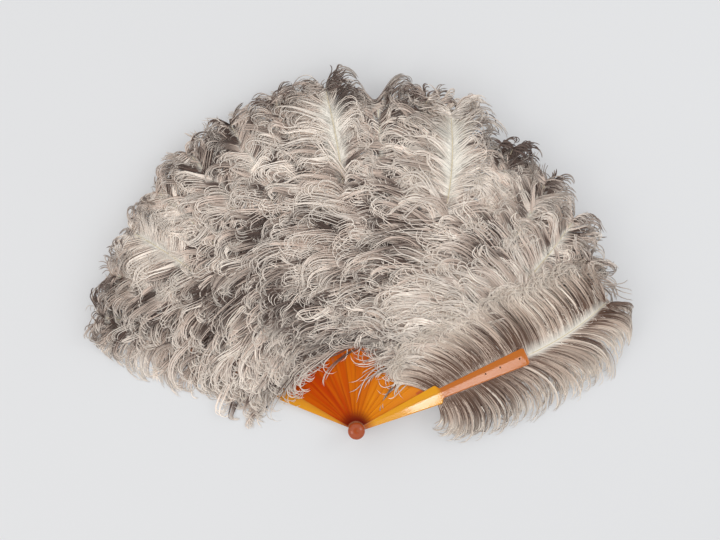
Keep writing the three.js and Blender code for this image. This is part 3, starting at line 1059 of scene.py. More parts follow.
MARKINGS = tuple(
    Marking(x * MM, y * MM, radius * MM, dusk)
    for x, y, radius, dusk in (
        (-172, 318, 26, 0.85), (-293, 156, 14, 0.9), (-122, 222, 20, 0.7), (-86, 134, 36, 0.7),
        (-104, 167, 24, 0.55), (-52, 94, 34, 0.55), (-5, 165, 22, 0.6), (14, 256, 30, 0.5),
        (26, 205, 26, 0.65), (7, 97, 34, 0.55), (-30, 392, 26, 1.2), (47, 380, 18, 0.7),
        (152, 336, 24, 1.6), (186, 320, 14, 1.0), (214, 298, 14, 0.9), (140, 208, 18, 0.7),
        (292, 178, 12, 1.1), (145, 112, 26, 0.35), (106, 71, 26, 0.45), (168, 124, 18, 0.2),
        (290, 164, 12, 1.0), (275, 144, 14, 0.5), (-177, 130, 28, 0.65), (-249, 203, 30, -1.0),
        (-221, 244, 22, -0.65), (-47, 346, 30, -0.9), (100, 330, 24, -0.9), (86, 287, 30, -1.0),
        (79, 150, 46, -0.7), (180, 181, 28, -0.65), (132, 288, 30, -0.8), (-55, 260, 24, -0.55),
        (-134, 300, 22, -0.9), (-244, 115, 24, 0.8), (103, 358, 18, -0.8), (-74, 172, 20, -0.5),
        (186, 36, 28, 0.2), (231, 93, 16, -0.3),
    )
)


def marking_dusk(points: Array) -> Array:
    """How much darker or paler the markings make the plumage at the given points."""
    x, y = points[..., 0], points[..., 1]
    return sum(m.dusk * np.exp(-(np.hypot(x - m.x, y - m.y) / m.radius) ** 2) for m in MARKINGS)


class Growth:
    """How barbs grow along the shaft, from 0 at its base to 1 at its tip, or by a plume's place in the row.

    LEAVE courses and LEAVE_RIGHT are angles between shaft and barb in degrees. The others are shares.
    """

    FRONT_LEAVE_LEFT = Course((0, 0.12, 0.35, 0.55, 0.93, 1), (118, 106, 88, 74, 58, 14))
    FRONT_LEAVE_RIGHT = Course((0, 0.12, 0.3, 0.46, 0.93, 1), (76, 64, 46, 30, 24, 6))
    LEAVE_LEFT_BY_PLACE = Course((0, 3, 5, 10, 13), (58, 104, 92, 92, 104))
    LEAVE_RIGHT = 76
    LEAVE_LATER = Course((0.12, 0.35, 0.55, 0.8, 0.93, 1), (86, 66, 56, 50, 40, 6))
    BASE_PART = 0.12
    TURNED_LEFT_BY_PLACE = Course((0, 4, 7, 11), (0.5, 0.5, 0.2, 1))
    TURN_BEGINS = Step(0.05, 0.2)
    TURN_ENDS = Step(0.4, 0.8)
    LENGTH = Course((0, 0.1, 0.5, 0.85, 0.95, 1), (0.74, 0.95, 1.0, 0.88, 0.62, 0.44))
    BACK_LENGTH_LEFT = Course((0, 0.1, 0.2, 0.45, 0.7), (0.74, 0.62, 0.54, 0.62, 0.86))
    FRONT_LENGTH_RIGHT = Course((0.04, 0.25, 0.4, 0.6, 0.85), (0.82, 1.0, 1.0, 1.1, 0.9))
    FRONT_TIP = Step(0.84, 1.0)
    BESIDE_BOLD = Step(0.4, 0.7)
    HANGING_BY_PLACE = Course((1, 4), (0.74, 1))
    HANGING_ENDS = Step(0.05, 0.35)
    CURL_BACK_BY_PLACE = Course((7, 11), (0, 1))
    CURL_BACK_ENDS = Step(0.3, 0.75)
    FORWARD_BY_PLACE = Course((6, 9, 12, 15), (0, 1, 1, 0))
    FORWARD_ENDS = Step(0.45, 0.75)
    TIED_ENDS = Step(0.52, 0.7)
    CALM_ENDS = Step(0.04, 0.16)
    TIP_DROOPS = Step(0.85, 1.0)
    BEND_ALONG_BARB = Step(0.38, 1.0)
    DROOP_ALONG_BARB = Step(0.1, 0.8)
    GATHERED = Step(0.0, 0.7)
    TAPER = Course((0, 0.5, 0.93, 1), (1, 0.95, 0.75, 0))
    BOLD_RISE = Step(0.3, 0.9)
    SHAFT_SHOWS = Step(0.6, 0.7)
    SHAFT_TAPER_AT = (0, 0.02, 0.97, 1)


class Habit:
    """How locks and barbs differ from each other.

    BY_BOLD pairs are a share on a plain plume and what boldness adds to it. TURN values are degrees for a layer
    whose looseness is 1, and CALM values say how much straighter barbs lie near the blades.
    """

    CROWDING = 0.35
    LOCK_JITTER = 0.3
    LENGTH_BY_BOLD = (0.88, 0.2)
    LENGTH_RANGE = (-0.18, 0.1)
    LENGTH_LIMITS = (0.5, 1.3)
    SLANT = 0.3
    LIFT_BY_BOLD = (0.6, 0.6)
    FLAT_LIFT_BY_BOLD = (0.35, 0.45)
    LIFT_RANGE = (0.4, 1.5)
    LIFT_FADE = 1.7
    BARE_BY_BOLD = (0.0, 1.4)
    CALM_SWEEP, CALM_BEND, CALM_HOOK = 0.45, 0.75, 0.6
    OWN_DRIFT = 0.4
    PHASE_DRIFT = 2.0
    WAVE_TURNS = 4.5
    BARB_SPREAD = 1.05
    BARB_JITTER = 0.12
    HOOK_RANGE = (-0.3, 0.3)
    HOOK_LIMITS = (0.08, 0.5)
    LEAVE_TURN, HOOK_TURN, NOD_TURN = 40, 200, 250
    NOD_DEG, NOD_SPREAD = 10, 18
    SCATTER_POWER = 1.5
    SCATTER_AXES = (1, 1, 0.5)
    TURN_EFFORT = 180
    FIRST_STATION = 0.006
    WIDTH_RANGE = (0.75, 1.2)
    ROOT_TAPER = 0.008
    TIED_TAPER = 0.14


@dataclass(frozen=True)
class Tint:
    """How the barbs' colour varies on a plume. Dusk darkens them, and a white band lies along the shaft."""

    dusk: float = 0.36
    barb_dusk: float = 0.11
    lock_dusk: float = 0.28
    root_dusk: float = 0.25
    root: Step = Step(0.02, 0.1)
    barb_mark: float = 0.32
    point_mark: float = 0.48
    tone: float = 0.5
    uneven: float = 0.2
    own_uneven: float = 0.6
    tip: Step = Step(0.78, 1.0)
    tip_dark: Pair = (0.25, 0.95)
    dark_spread: float = 0.12
    dark_gain: float = 0.75
    dark_from: float = 0.72
    band: float = 0.01
    bold_band: float = 0.5
    bold_part: Step = Step(0.62, 0.78)
    band_range: Pair = (0.75, 1.25)
    band_soft: float = 0.85


PLAIN_TINT = Tint()
FRONT_TINT = Tint(lock_dusk=0.2, root_dusk=0.0, uneven=0.09, band=0.14, bold_band=0.0)


@dataclass
class Room:
    """Where a plume's barbs may lie: inside the rim, over the table and lower blades, under the front guard."""

    spread: Spread
    index: int
    layer_z: float
    floor_gap: float = 0.7 * MM
    soft_ceiling: float = 34 * MM
    head_room: float = 14 * MM
    rim_depth: float = 10 * MM
    shaft_gap: float = 0.6 * MM
    guard_gap: float = 0.4 * MM
    guard_half: float = 11 * MM
    guard_end: float = 212 * MM
    guard_margin: float = 9 * MM
    blade_gap: float = 0.8 * MM
    blade_lead: float = 0.4
    row_start: float = -0.5
    row_margin: float = 0.2
    gorge: Step = Step(98 * MM, 116 * MM)
    vane_half: float = 0.25 * MM
    vane_left: Course = Course((90 * MM, 200 * MM, 226 * MM, 326 * MM), (40 * MM, 76 * MM, 80 * MM, 28 * MM))
    vane_right: float = -70 * MM
    vane_start: float = 80 * MM
    vane_end: float = 335 * MM
    lid_slope: float = 0.6
    lid_droop: float = 0.45
    droop_start: float = 8 * MM
    droop_width: float = 60 * MM

    def hold(self, points: Array) -> Array:
        """Moves points in the row frame to where barbs may lie.

        Args:
            points: points of barbs or of a shaft.

        Returns:
            The points, moved where they have to be.
        """
        x, y, z = points[..., 0], points[..., 1], points[..., 2]
        place, radius = self.spread.place(x, y), np.hypot(x, y)
        edge = self.spread.rim(place) - self.rim_depth
        held = edge + soft_limit(radius - edge, self.rim_depth)
        x, y = (v * np.where(radius > edge, held / radius, 1.0) for v in (x, y))
        x, y = self.spread.hem(x, y)
        z = self._over_blades(self._under_guard(x, y, z), place, radius)
        z = np.minimum(z, self.soft_ceiling) + soft_limit(z - self.soft_ceiling, self.head_room)
        return np.stack([x, y, np.maximum(z, self.floor_gap)], -1)

    def _under_guard(self, x: Array, y: Array, z: Array) -> Array:
        """Heights under the front guard, and under the front plume or, on that plume, over its shaft.

        Args:
            x: where points are across the row.
            y: where they are along its middle line.
            z: their heights.

        Returns:
            The new heights.
        """
        turn = self.spread.turn(self.spread.last)
        ahead = x * math.cos(turn) + y * math.sin(turn)
        left = y * math.cos(turn) - x * math.sin(turn)
        if self.index == self.spread.last:
            z = np.where(left > 0, np.maximum(z, self.layer_z + self.shaft_gap), z)
        else:
            z = np.minimum(z, self._lid(ahead, left))
        beside = smooth(self.guard_half, self.guard_half + self.guard_margin, np.abs(left))
        beyond = smooth(self.guard_end, self.guard_end + self.guard_margin, ahead)
        under = (1 - beside) * (1 - beyond)
        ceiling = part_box("front_guard")[0].z + self.guard_gap
        return np.where(z > ceiling, z - (z - ceiling) * under, z)

    def _lid(self, ahead: Array, left: Array) -> Array:
        """Height that barbs of the other plumes may have under the front plume's vane.

        Args:
            ahead: distance from the rivet along the front guard.
            left: distance to the left of that line.

        Returns:
            The largest height at each point.
        """
        front_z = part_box("front_guard_plume")[0].z + self.vane_half
        away = np.maximum(left - self.vane_left(ahead), self.vane_right - left)
        away = np.maximum(away, np.maximum(self.vane_start - ahead, ahead - self.vane_end))
        droop = self.lid_droop * np.clip(-left - self.droop_start, 0, self.droop_width)
        return front_z + self.lid_slope * np.clip(away, 0, None) - droop

    def _over_blades(self, z: Array, place: Array, radius: Array) -> Array:
        """Heights over the blades that lie lower than the plume's own, in the gorge.

        Args:
            z: heights of points.
            place: their place in the row of blades.
            radius: their distance from the rivet.

        Returns:
            The new heights.
        """
        first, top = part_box("stick_01")[1].z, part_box("front_guard")[0].z
        surface = first + (top - first) * np.clip((place + self.blade_lead) / self.spread.last, 0, 1)
        over = (place > self.row_start) & (place < self.index + self.row_margin)
        inside = (1 - self.gorge(radius)) * np.where(over, 1, 0)
        lowest = surface + self.blade_gap
        return np.where(z < lowest, z + (lowest - z) * inside, z)


class StrandSweep:
    """Sweeps a small section along many strands into one mesh."""

    def __init__(self, name: str, corners: list[Pair]) -> None:
        """Makes the section, a closed flat curve with the given corners.

        Args:
            name: the curve's name.
            corners: the section's corners, for a strand with radius 1.
        """
        curve = bpy.data.curves.new(name, "CURVE")
        curve.dimensions = "2D"
        spline = curve.splines.new("POLY")
        spline.points.add(len(corners) - 1)
        spline.use_cyclic_u = True
        spline.points.foreach_set("co", np.array([(x, y, 0.0, 1.0) for x, y in corners]).ravel())
        self.section, self.sides = new_object(name, curve), len(corners)

    @classmethod
    def flat(cls) -> "StrandSweep":
        """A sweep with the flat three-sided section of barbs."""
        return cls("strand_section", [(0.0, 0.5), (1.0, -0.3), (-1.0, -0.3)])

    @classmethod
    def round(cls, sides: int = 8) -> "StrandSweep":
        """A sweep with the round section of shafts."""
        turns = [math.pi / 2 - math.tau * i / sides for i in range(sides)]
        return cls("shaft_section", [(math.cos(a), math.sin(a)) for a in turns])

    def remove(self) -> None:
        """Takes the section out of the scene."""
        bpy.data.objects.remove(self.section)

    def piece(self, name: str, strands: dict[str, Array]) -> Object:
        """Sweeps the section along strands.

        Args:
            name: the piece's name.
            strands: points and radius along each strand, and the values that colour it.

        Returns:
            One mesh object that carries the values as attributes.
        """
        points, radius = strands["points"], strands["radius"]
        n, k, _ = points.shape
        curve = bpy.data.curves.new(name, "CURVE")
        curve.dimensions, curve.twist_mode = "3D", "Z_UP"
        curve.bevel_mode, curve.bevel_object = "OBJECT", self.section
        placed = np.concatenate([points, np.ones((n, k, 1))], -1)
        for i in range(n):
            spline = curve.splines.new("POLY")
            spline.points.add(k - 1)
            spline.points.foreach_set("co", placed[i].ravel())
            spline.points.foreach_set("radius", radius[i])
        line = new_object(name + "_lines", curve)
        mesh = bpy.data.meshes.new_from_object(line.evaluated_get(bpy.context.evaluated_depsgraph_get()))
        bpy.data.objects.remove(line)
        bpy.data.curves.remove(curve)
        for key in BARB_VALUES:
            if key in strands:
                values = np.repeat(strands[key].reshape(-1), self.sides).astype(np.float32)
                mesh.attributes.new(key, "FLOAT", "POINT").data.foreach_set("value", values)
        self._lay_out_uv(mesh, n, (k - 1) * self.sides * 4)
        bm = bmesh.new()
        bm.from_mesh(mesh)
        bmesh.ops.remove_doubles(bm, verts=bm.verts, dist=STRAND_MERGE)
        bm.to_mesh(mesh)
        bm.free()
        mesh.name = name
        mesh.shade_smooth()
        return new_object(name, mesh)

    @staticmethod
    def _lay_out_uv(mesh: Mesh, strands: int, corners: int, margin: float = 0.06) -> None:
        """Gives each strand a cell of its own in the map.

        Args:
            mesh: the swept mesh.
            strands: how many strands it has.
            corners: how many face corners each strand has.
            margin: free share at each side of a cell.
        """
        layer = mesh.uv_layers[0]
        layer.name = "OFBake"
        uv = np.empty(len(mesh.loops) * 2, np.float32)
        layer.uv.foreach_get("vector", uv)
        uv = uv.reshape(strands, corners, 2)
        columns = math.ceil(math.sqrt(strands))
        cell = np.stack([np.arange(strands) % columns, np.arange(strands) // columns], -1)[:, None, :]
        uv = (cell + margin + (1 - 2 * margin) * np.clip(uv, 0, 1)) / columns
        layer.uv.foreach_set("vector", uv.astype(np.float32).ravel())


@dataclass
class Locks:
    """The locks of one layer: where each grows and how it lies. Angles are in degrees."""

    share: Array
    side: Array
    size: Array
    sweep: Array
    wave: Array
    phase: Array
    lift: Array
    bend: Array
    way: Array
    calm: Array | float


@dataclass
class Plume:
    """One ostrich plume: a shaft with a nodding tip, and its curled barbs."""

    spread: Spread
    index: int
    cover: float
    bold: float
    bold_beside: float
    bow: float
    seed: int
    vane_half: float = 0.25 * MM
    back_drop: float = 5.25 * MM
    shaft_start: float = 95 * MM
    overhang: float = 30 * MM
    bend_start: float = 214 * MM
    arch_height: float = 4 * MM
    arch_part: float = 0.62
    bold_arch: float = 7 * MM
    nod_radius: float = 9 * MM
    nod_deg: float = 100.0
    shaft_steps: int = 400
    shaft_points: int = 36
    shaft_radius: float = 0.9 * MM
    shaft_tip_radius: float = 0.35 * MM
    shaft_lift: float = 1.2 * MM
    covered_radius: float = 0.35
    cover_end: float = 6 * MM
    right_share: float = 0.9
    right_fill: float = 0.78
    front_right_more: float = 1.06
    front_tip_more: float = 0.35
    beside_less: float = 0.5
    drift_knots: int = 8
    curl_back: float = 30.0
    turn_left: float = 34.0
    forward_more: float = 0.35
    tie_spread: float = 13 * MM
    tie_rise: float = 2 * MM
    stack_height: float = 30 * MM
    open_droop: float = 26.0
    tip_droop: float = 18.0
    free_length: float = 8 * MM
    sag: float = 1.1
    front_sag: float = 0.1
    points: int = 13
    fine_points: int = 81
    pressed_share: float = 0.1
    pressed_lift: float = 0.4 * MM

    def __post_init__(self) -> None:
        """Reads the plume's place and reach from its node, and bends its shaft."""
        _, self.node, self.body = self.spread.nodes(self.index)
        self.turn = self.spread.turn(self.index)
        self.reach = self.spread.reaches[self.index]
        self.front = self.index == self.spread.last
        self.tint = FRONT_TINT if self.front else PLAIN_TINT
        low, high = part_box(self.node)
        self.layer_z = high.z - self.back_drop if self.index == 0 else low.z + self.vane_half
        self.room = Room(self.spread, self.index, self.layer_z)
        self.rng = np.random.default_rng(self.seed)
        self._bend_shaft()

    def _bend_shaft(self) -> None:
        """Fills a fine table of places, headings and pitches along the shaft."""
        straight_end = self.reach - self.overhang - self.nod_radius
        self.shaft_length = straight_end - self.shaft_start + self.nod_radius * math.radians(self.nod_deg)
        s = np.linspace(0, self.shaft_length, self.shaft_steps)
        pitch = np.clip((s - (straight_end - self.shaft_start)) / self.nod_radius, 0, None)
        rise = np.clip((self.shaft_start + s - self.bend_start) / (straight_end - self.bend_start), 0, 1)
        heading = np.arctan(2 * self.bow * rise / (straight_end - self.bend_start))
        step = s[1]
        x = self.shaft_start + np.cumsum(np.cos(pitch) * np.cos(heading)) * step - step
        y = np.cumsum(np.cos(pitch) * np.sin(heading)) * step
        z = np.cumsum(np.sin(pitch)) * step + self.arch_height * np.sin(math.pi * rise * self.arch_part) ** 2
        z = z + self.bold_arch * self.bold * Growth.BOLD_RISE(rise)
        self.shares, self.table = s / self.shaft_length, (x, y, z, heading, pitch)

    def shaft(self, share: Array) -> tuple[Array, Array]:
        """Place and local axes along the shaft, in the blade's own frame.

        Args:
            share: place along the shaft, 0 at its base and 1 at its tip.

        Returns:
            Points, and for each point three axes: along the shaft, to its left, and out of its face.
        """
        x, y, z, h, p = (np.interp(share, self.shares, row) for row in self.table)
        ahead = np.stack([np.cos(p) * np.cos(h), np.cos(p) * np.sin(h), np.sin(p)], -1)
        left = np.stack([-np.sin(h), np.cos(h), np.zeros_like(h)], -1)
        face = np.stack([-np.sin(p) * np.cos(h), -np.sin(p) * np.sin(h), np.cos(p)], -1)
        return np.stack([x, y, z], -1), np.stack([ahead, left, face], -2)

    def by_bold(self, plain: float, more: float) -> float:
        """A share that grows with the plume's boldness."""
        return plain + more * self.bold

    def into_row(self, points: Array) -> Array:
        """Turns points from the blade's own frame into the row frame.

        Args:
            points: points in the blade's frame.

        Returns:
            The points in the row frame.
        """
        c, s = math.cos(self.turn), math.sin(self.turn)
        x, y, z = points[..., 0], points[..., 1], points[..., 2]
        return np.stack([c * x - s * y, s * x + c * y, z + self.layer_z], -1)

    def leave_deg(self, share: Array, side: Array) -> Array:
        """Angle between the shaft and the barbs where they leave it.

        Args:
            share: place along the shaft, 0 at its base and 1 at its tip.
            side: 1 on the shaft's left and -1 on its right.

        Returns:
            The angle in degrees.
        """
        if self.front:
            return np.where(side > 0, Growth.FRONT_LEAVE_LEFT(share), Growth.FRONT_LEAVE_RIGHT(share))
        base = np.where(side > 0, Growth.LEAVE_LEFT_BY_PLACE(self.index), Growth.LEAVE_RIGHT)
        leave = base + (Growth.LEAVE_LATER(share) - base) * np.clip(share / Growth.BASE_PART, 0, 1)
        more = self.turn_left * Growth.TURNED_LEFT_BY_PLACE(self.index)
        return leave + np.where(side > 0, more * Growth.TURN_BEGINS(share) * (1 - Growth.TURN_ENDS(share)), 0)

    def droop_deg(self, share: Array, side: Array) -> Array:
        """How far barbs with nothing under them sink towards the table.

        Args:
            share: place along the shaft, 0 at its base and 1 at its tip.
            side: 1 on the shaft's left and -1 on its right.

        Returns:
            The change of pitch in degrees.
        """
        height = self.layer_z / self.stack_height
        open_side = (side < 0) & self.front
        tip = self.tip_droop * height * Growth.TIP_DROOPS(share)
        return np.where(open_side, -self.open_droop * height, 0.0) - tip

    def _lock_places(self, layer: BarbLayer) -> tuple[Array, Array]:
        """Where along the shaft the locks grow, closer together near its base, and on which side.

        Args:
            layer: the layer's sizes.

        Returns:
            Place along the shaft and side of every lock.
        """
        shares, sides = [], []
        for side in layer.sides:
            thinned = side is Side.RIGHT and not self.front
            fill = self.right_fill + (1 - self.right_fill) * self.bold if thinned else 1.0
            covered = layer.last_share - layer.first_share
            count = max(2, round(self.shaft_length * covered * fill / layer.lock_spacing))
            even = (np.arange(count) + 0.5) / count
            share = even * (1 - Habit.CROWDING + Habit.CROWDING * even)
            share = share + self.rng.normal(0, Habit.LOCK_JITTER / count, count)
            shares.append(layer.first_share + np.clip(share, 0, 1) * covered)
            sides.append(np.full(count, side.value))
        return np.concatenate(shares), np.concatenate(sides)

    def _lock_sizes(self, layer: BarbLayer, share: Array, side: Array) -> Array:
        """Length of the longest barb in each lock.

        Args:
            layer: the layer's sizes.
            share: place along the shaft, 0 at its base and 1 at its tip.
            side: 1 on the shaft's left and -1 on its right.

        Returns:
            The lengths in metres.
        """
        size = layer.length * Growth.LENGTH(share) * self.by_bold(*Habit.LENGTH_BY_BOLD)
        size = size * (1 + layer.uneven * self.rng.uniform(*Habit.LENGTH_RANGE, len(share)))
        if self.index == 0:
            return np.where(side > 0, size * Growth.BACK_LENGTH_LEFT(share), size)
        if self.front:
            left = size * (1 + self.front_tip_more * Growth.FRONT_TIP(share))
            return np.where(side > 0, left, self.front_right_more * size * Growth.FRONT_LENGTH_RIGHT(share))
        left = size * (1 - self.beside_less * self.bold_beside * Growth.BESIDE_BOLD(share))
        hanging = Growth.HANGING_BY_PLACE(self.index)
        left = left * (hanging + (1 - hanging) * Growth.HANGING_ENDS(share))
        return np.where(side > 0, left, size * self.right_share)

    def _drift(self, share: Array, side: Array, spread: float) -> Array:
        """Random values that change slowly along each side of the shaft, with a little of their own each.

        Args:
            share: place along the shaft, 0 at its base and 1 at its tip.
            side: 1 on the shaft's left and -1 on its right.
            spread: how far they vary.

        Returns:
            A value for each place.
        """
        knots = np.linspace(0, 1, self.drift_knots)
        left, right = [np.interp(share, knots, self.rng.normal(0, spread, self.drift_knots)) for _ in Side]
        return np.where(side > 0, left, right) + self.rng.normal(0, Habit.OWN_DRIFT * spread, len(share))

    def _curl_back(self, share: Array, side: Array) -> Array:
        """How much more the barbs of the right-hand plumes sweep back near the blades, in degrees.

        Args:
            share: place along the shaft, 0 at its base and 1 at its tip.
            side: 1 on the shaft's left and -1 on its right.

        Returns:
            The added sweep.
        """
        if self.front:
            return np.zeros(len(share))
        amount = self.curl_back * Growth.CURL_BACK_BY_PLACE(self.index)
        return np.where(side > 0, amount * (1 - Growth.CURL_BACK_ENDS(share)), 0.0)

    def _forward(self, layer: BarbLayer, share: Array) -> Array:
        """Share of the locks that curl towards the tip, more in the middle of the fan."""
        more = self.forward_more * Growth.FORWARD_BY_PLACE(self.index)
        return layer.forward_hooks + more * (1 - Growth.FORWARD_ENDS(share))

    def _tied_share(self, layer: BarbLayer, share: Array) -> Array:
        """How much of the shaft is hidden by smaller feathers tied over it.

        Args:
            layer: the layer's sizes.
            share: place along the shaft, 0 at its base and 1 at its tip.

        Returns:
            The hidden part at each place.
        """
        if self.front or not layer.tied:
            return np.zeros(len(share))
        return 1 - min(1.0, self.by_bold(*Habit.BARE_BY_BOLD)) * Growth.TIED_ENDS(share)

    def _astray(self, layer: BarbLayer, share: Array, axes: Array) -> Array:
        """How far locks lie off their own shaft, where smaller feathers are tied over it.

        Args:
            layer: the layer's sizes.
            share: place of each lock along the shaft.
            axes: the shaft's axes there.

        Returns:
            The shift of each lock.
        """
        amount = self._tied_share(layer, share)
        aside = self.rng.normal(0, self.tie_spread, len(share)) * amount
        return aside[:, None] * axes[:, 1] + (self.tie_rise * amount)[:, None] * axes[:, 2]

    def _locks(self, layer: BarbLayer) -> Locks:
        """Places the locks of one layer and decides how each lies.

        Args:
            layer: the layer's sizes.

        Returns:
            The locks.
        """
        share, side = self._lock_places(layer)
        count = len(share)
        size = self._lock_sizes(layer, share, side)
        sweep = layer.sweep + self._drift(share, side, layer.sweep_spread)
        sweep = sweep + self._curl_back(share, side)
        wave = self._drift(share, side, layer.sweep_spread)
        phase = math.pi + self._drift(share, side, Habit.PHASE_DRIFT)
        lift = layer.lift * self.rng.uniform(*Habit.LIFT_RANGE, count) * self.by_bold(*Habit.LIFT_BY_BOLD)
        flat_side = (side < 0) & (not self.front)
        lift = np.where(flat_side, lift * self.by_bold(*Habit.FLAT_LIFT_BY_BOLD), lift)
        bend = layer.bend + self._drift(share, side, layer.bend_spread)
        calm = 0.0 if layer.hangs or self.front else 1 - Growth.CALM_ENDS(share)
        sweep, bend = sweep * (1 - Habit.CALM_SWEEP * calm), bend * (1 - Habit.CALM_BEND * calm)
        way = np.where(self.rng.random(count) < self._forward(layer, share), -1.0, 1.0)
        return Locks(share, side, size, sweep, wave, phase, lift, bend, way, calm)

    def strands(self, layer: BarbLayer) -> dict[str, Array]:
        """Grows the barbs of one layer, lock by lock.

        Args:
            layer: the layer's sizes.

        Returns:
            Points of every barb in the row frame, with the values that colour and taper it.
        """
        rng, many, locks = self.rng, layer.barbs_per_lock, self._locks(layer)
        count = len(locks.share)
        lock = np.repeat(np.arange(count), many)
        n = len(lock)

        def own(values: Array) -> Array:
            """A lock's value for each of its barbs, as a column."""
            return values[lock][:, None]

        even = np.tile((np.arange(many) + 0.5) / many - 0.5, count)
        pitch = layer.lock_spacing / self.shaft_length
        apart = Habit.BARB_SPREAD * even + rng.normal(0, Habit.BARB_JITTER / many, n)
        share = np.clip(locks.share[lock] + pitch * apart, 0, 1)
        side = locks.side[lock]
        whole = rng.uniform(layer.shortest, 1.0, count)
        slant = rng.normal(0, Habit.SLANT * layer.uneven, count)
        length = (locks.size * whole)[lock]
        length = length * np.clip(1 + slant[lock] * even + rng.normal(0, layer.loose, n), *Habit.LENGTH_LIMITS)
        hook_length = layer.hook_length * (1 + layer.uneven * rng.uniform(*Habit.HOOK_RANGE, count))
        hook_share = np.clip(hook_length[lock] / length, *Habit.HOOK_LIMITS)[:, None]
        hook = locks.way * (layer.hook + self._drift(locks.share, locks.side, layer.hook_spread))
        hook = (hook * (1 - Habit.CALM_HOOK * locks.calm))[lock] + rng.normal(0, Habit.HOOK_TURN * layer.loose, n)
        nod = rng.normal(Habit.NOD_DEG, Habit.NOD_SPREAD, count)[lock]
        nod = nod + rng.normal(0, Habit.NOD_TURN * layer.loose, n)
        tau = np.linspace(0, 1, self.fine_points)[None, :]
        main = tau * (length / locks.size[lock])[:, None]
        end = smooth(0.0, 1.0, (tau - 1 + hook_share) / hook_share)
        psi = self.leave_deg(share, side) + layer.turn_back
        psi = (psi + rng.normal(0, Habit.LEAVE_TURN * layer.loose, n))[:, None]
        psi = psi + own(locks.sweep) * main**layer.sweep_power + hook[:, None] * end
        psi = psi + own(locks.bend) * Growth.BEND_ALONG_BARB(main)
        psi = psi + own(locks.wave) * np.sin(Habit.WAVE_TURNS * main + own(locks.phase))
        phi = own(locks.lift) * (1 - Habit.LIFT_FADE * main) + nod[:, None] * end
        phi = phi + self.droop_deg(share, side)[:, None] * Growth.DROOP_ALONG_BARB(main)
        root, axes = self.shaft(share)
        hidden = np.where(root[:, 0] < self.bend_start, self.cover, 0.0)[:, None]
        phi = phi * smooth(0.0, 1.0, (tau * length[:, None] - hidden) / self.free_length)
        taken = self._stations(psi, tau[0])
        line = self._sample(self._lines(np.radians(psi) * side[:, None], np.radians(phi), axes, length, side), taken)
        lock_root, lock_axes = self.shaft(locks.share)
        apart = (root - lock_root[lock])[:, None, :]
        lock_root = lock_root + self._astray(layer, locks.share, lock_axes)
        gather = (1 - layer.clump * Growth.GATHERED(taken))[..., None]
        loose = rng.normal(0, layer.scatter, (n, 1, 3)) * (taken**Habit.SCATTER_POWER)[..., None]
        loose = loose * np.array(Habit.SCATTER_AXES)
        placed = self.room.hold(self.into_row(lock_root[lock][:, None, :] + line + apart * gather + loose))
        return {"points": placed, **self._colours(layer, placed, share, lock, taken)}

    def _lines(self, psi: Array, phi: Array, axes: Array, length: Array, side: Array) -> Array:
        """Follows each barb from its root.

        Args:
            psi: heading at each fine point of each barb, away from the shaft's direction.
            phi: climb at each fine point.
            axes: the shaft's axes at each root.
            length: each barb's length.
            side: which side of the shaft each barb is on.

        Returns:
            Fine points along every barb, from its root at zero.
        """
        tau = np.linspace(0, 1, self.fine_points)[None, :]
        local = np.stack([np.cos(phi) * np.cos(psi), np.cos(phi) * np.sin(psi), np.sin(phi)], -1)
        step = np.einsum("nga,nac->ngc", local, axes) * (length / (tau.size - 1))[:, None, None]
        line = np.cumsum(step, 1) - step
        sag = self.sag * np.where((side > 0) & self.front, self.front_sag, 1.0)
        line[..., 2] -= sag[:, None] * (tau * length[:, None]) ** 2
        return line

    def _stations(self, psi: Array, tau: Array) -> Array:
        """Where along each barb its points lie, closer together where it turns.

        Args:
            psi: heading at each fine point.
            tau: place of the fine points along a barb.

        Returns:
            Place of each point, from 0 at the root to 1 at the tip.
        """
        turned_so_far = np.cumsum(np.abs(np.diff(psi, axis=1, prepend=psi[:, :1])), 1) / Habit.TURN_EFFORT
        effort = tau[None, :] + turned_so_far
        even = np.concatenate([[0.0], np.linspace(Habit.FIRST_STATION, 1, self.points - 1)])
        return np.stack([np.interp(even, row / row[-1], tau) for row in effort])

    @staticmethod
    def _sample(line: Array, taken: Array) -> Array:
        """Reads fine lines at the given places, between 0 and 1.

        Args:
            line: fine points of every barb.
            taken: the places.

        Returns:
            The points there.
        """
        at = taken * (line.shape[1] - 1)
        low = np.clip(at.astype(int), 0, line.shape[1] - 2)
        part = (at - low)[..., None]
        rows = np.arange(len(line))[:, None]
        return line[rows, low] * (1 - part) + line[rows, low + 1] * part

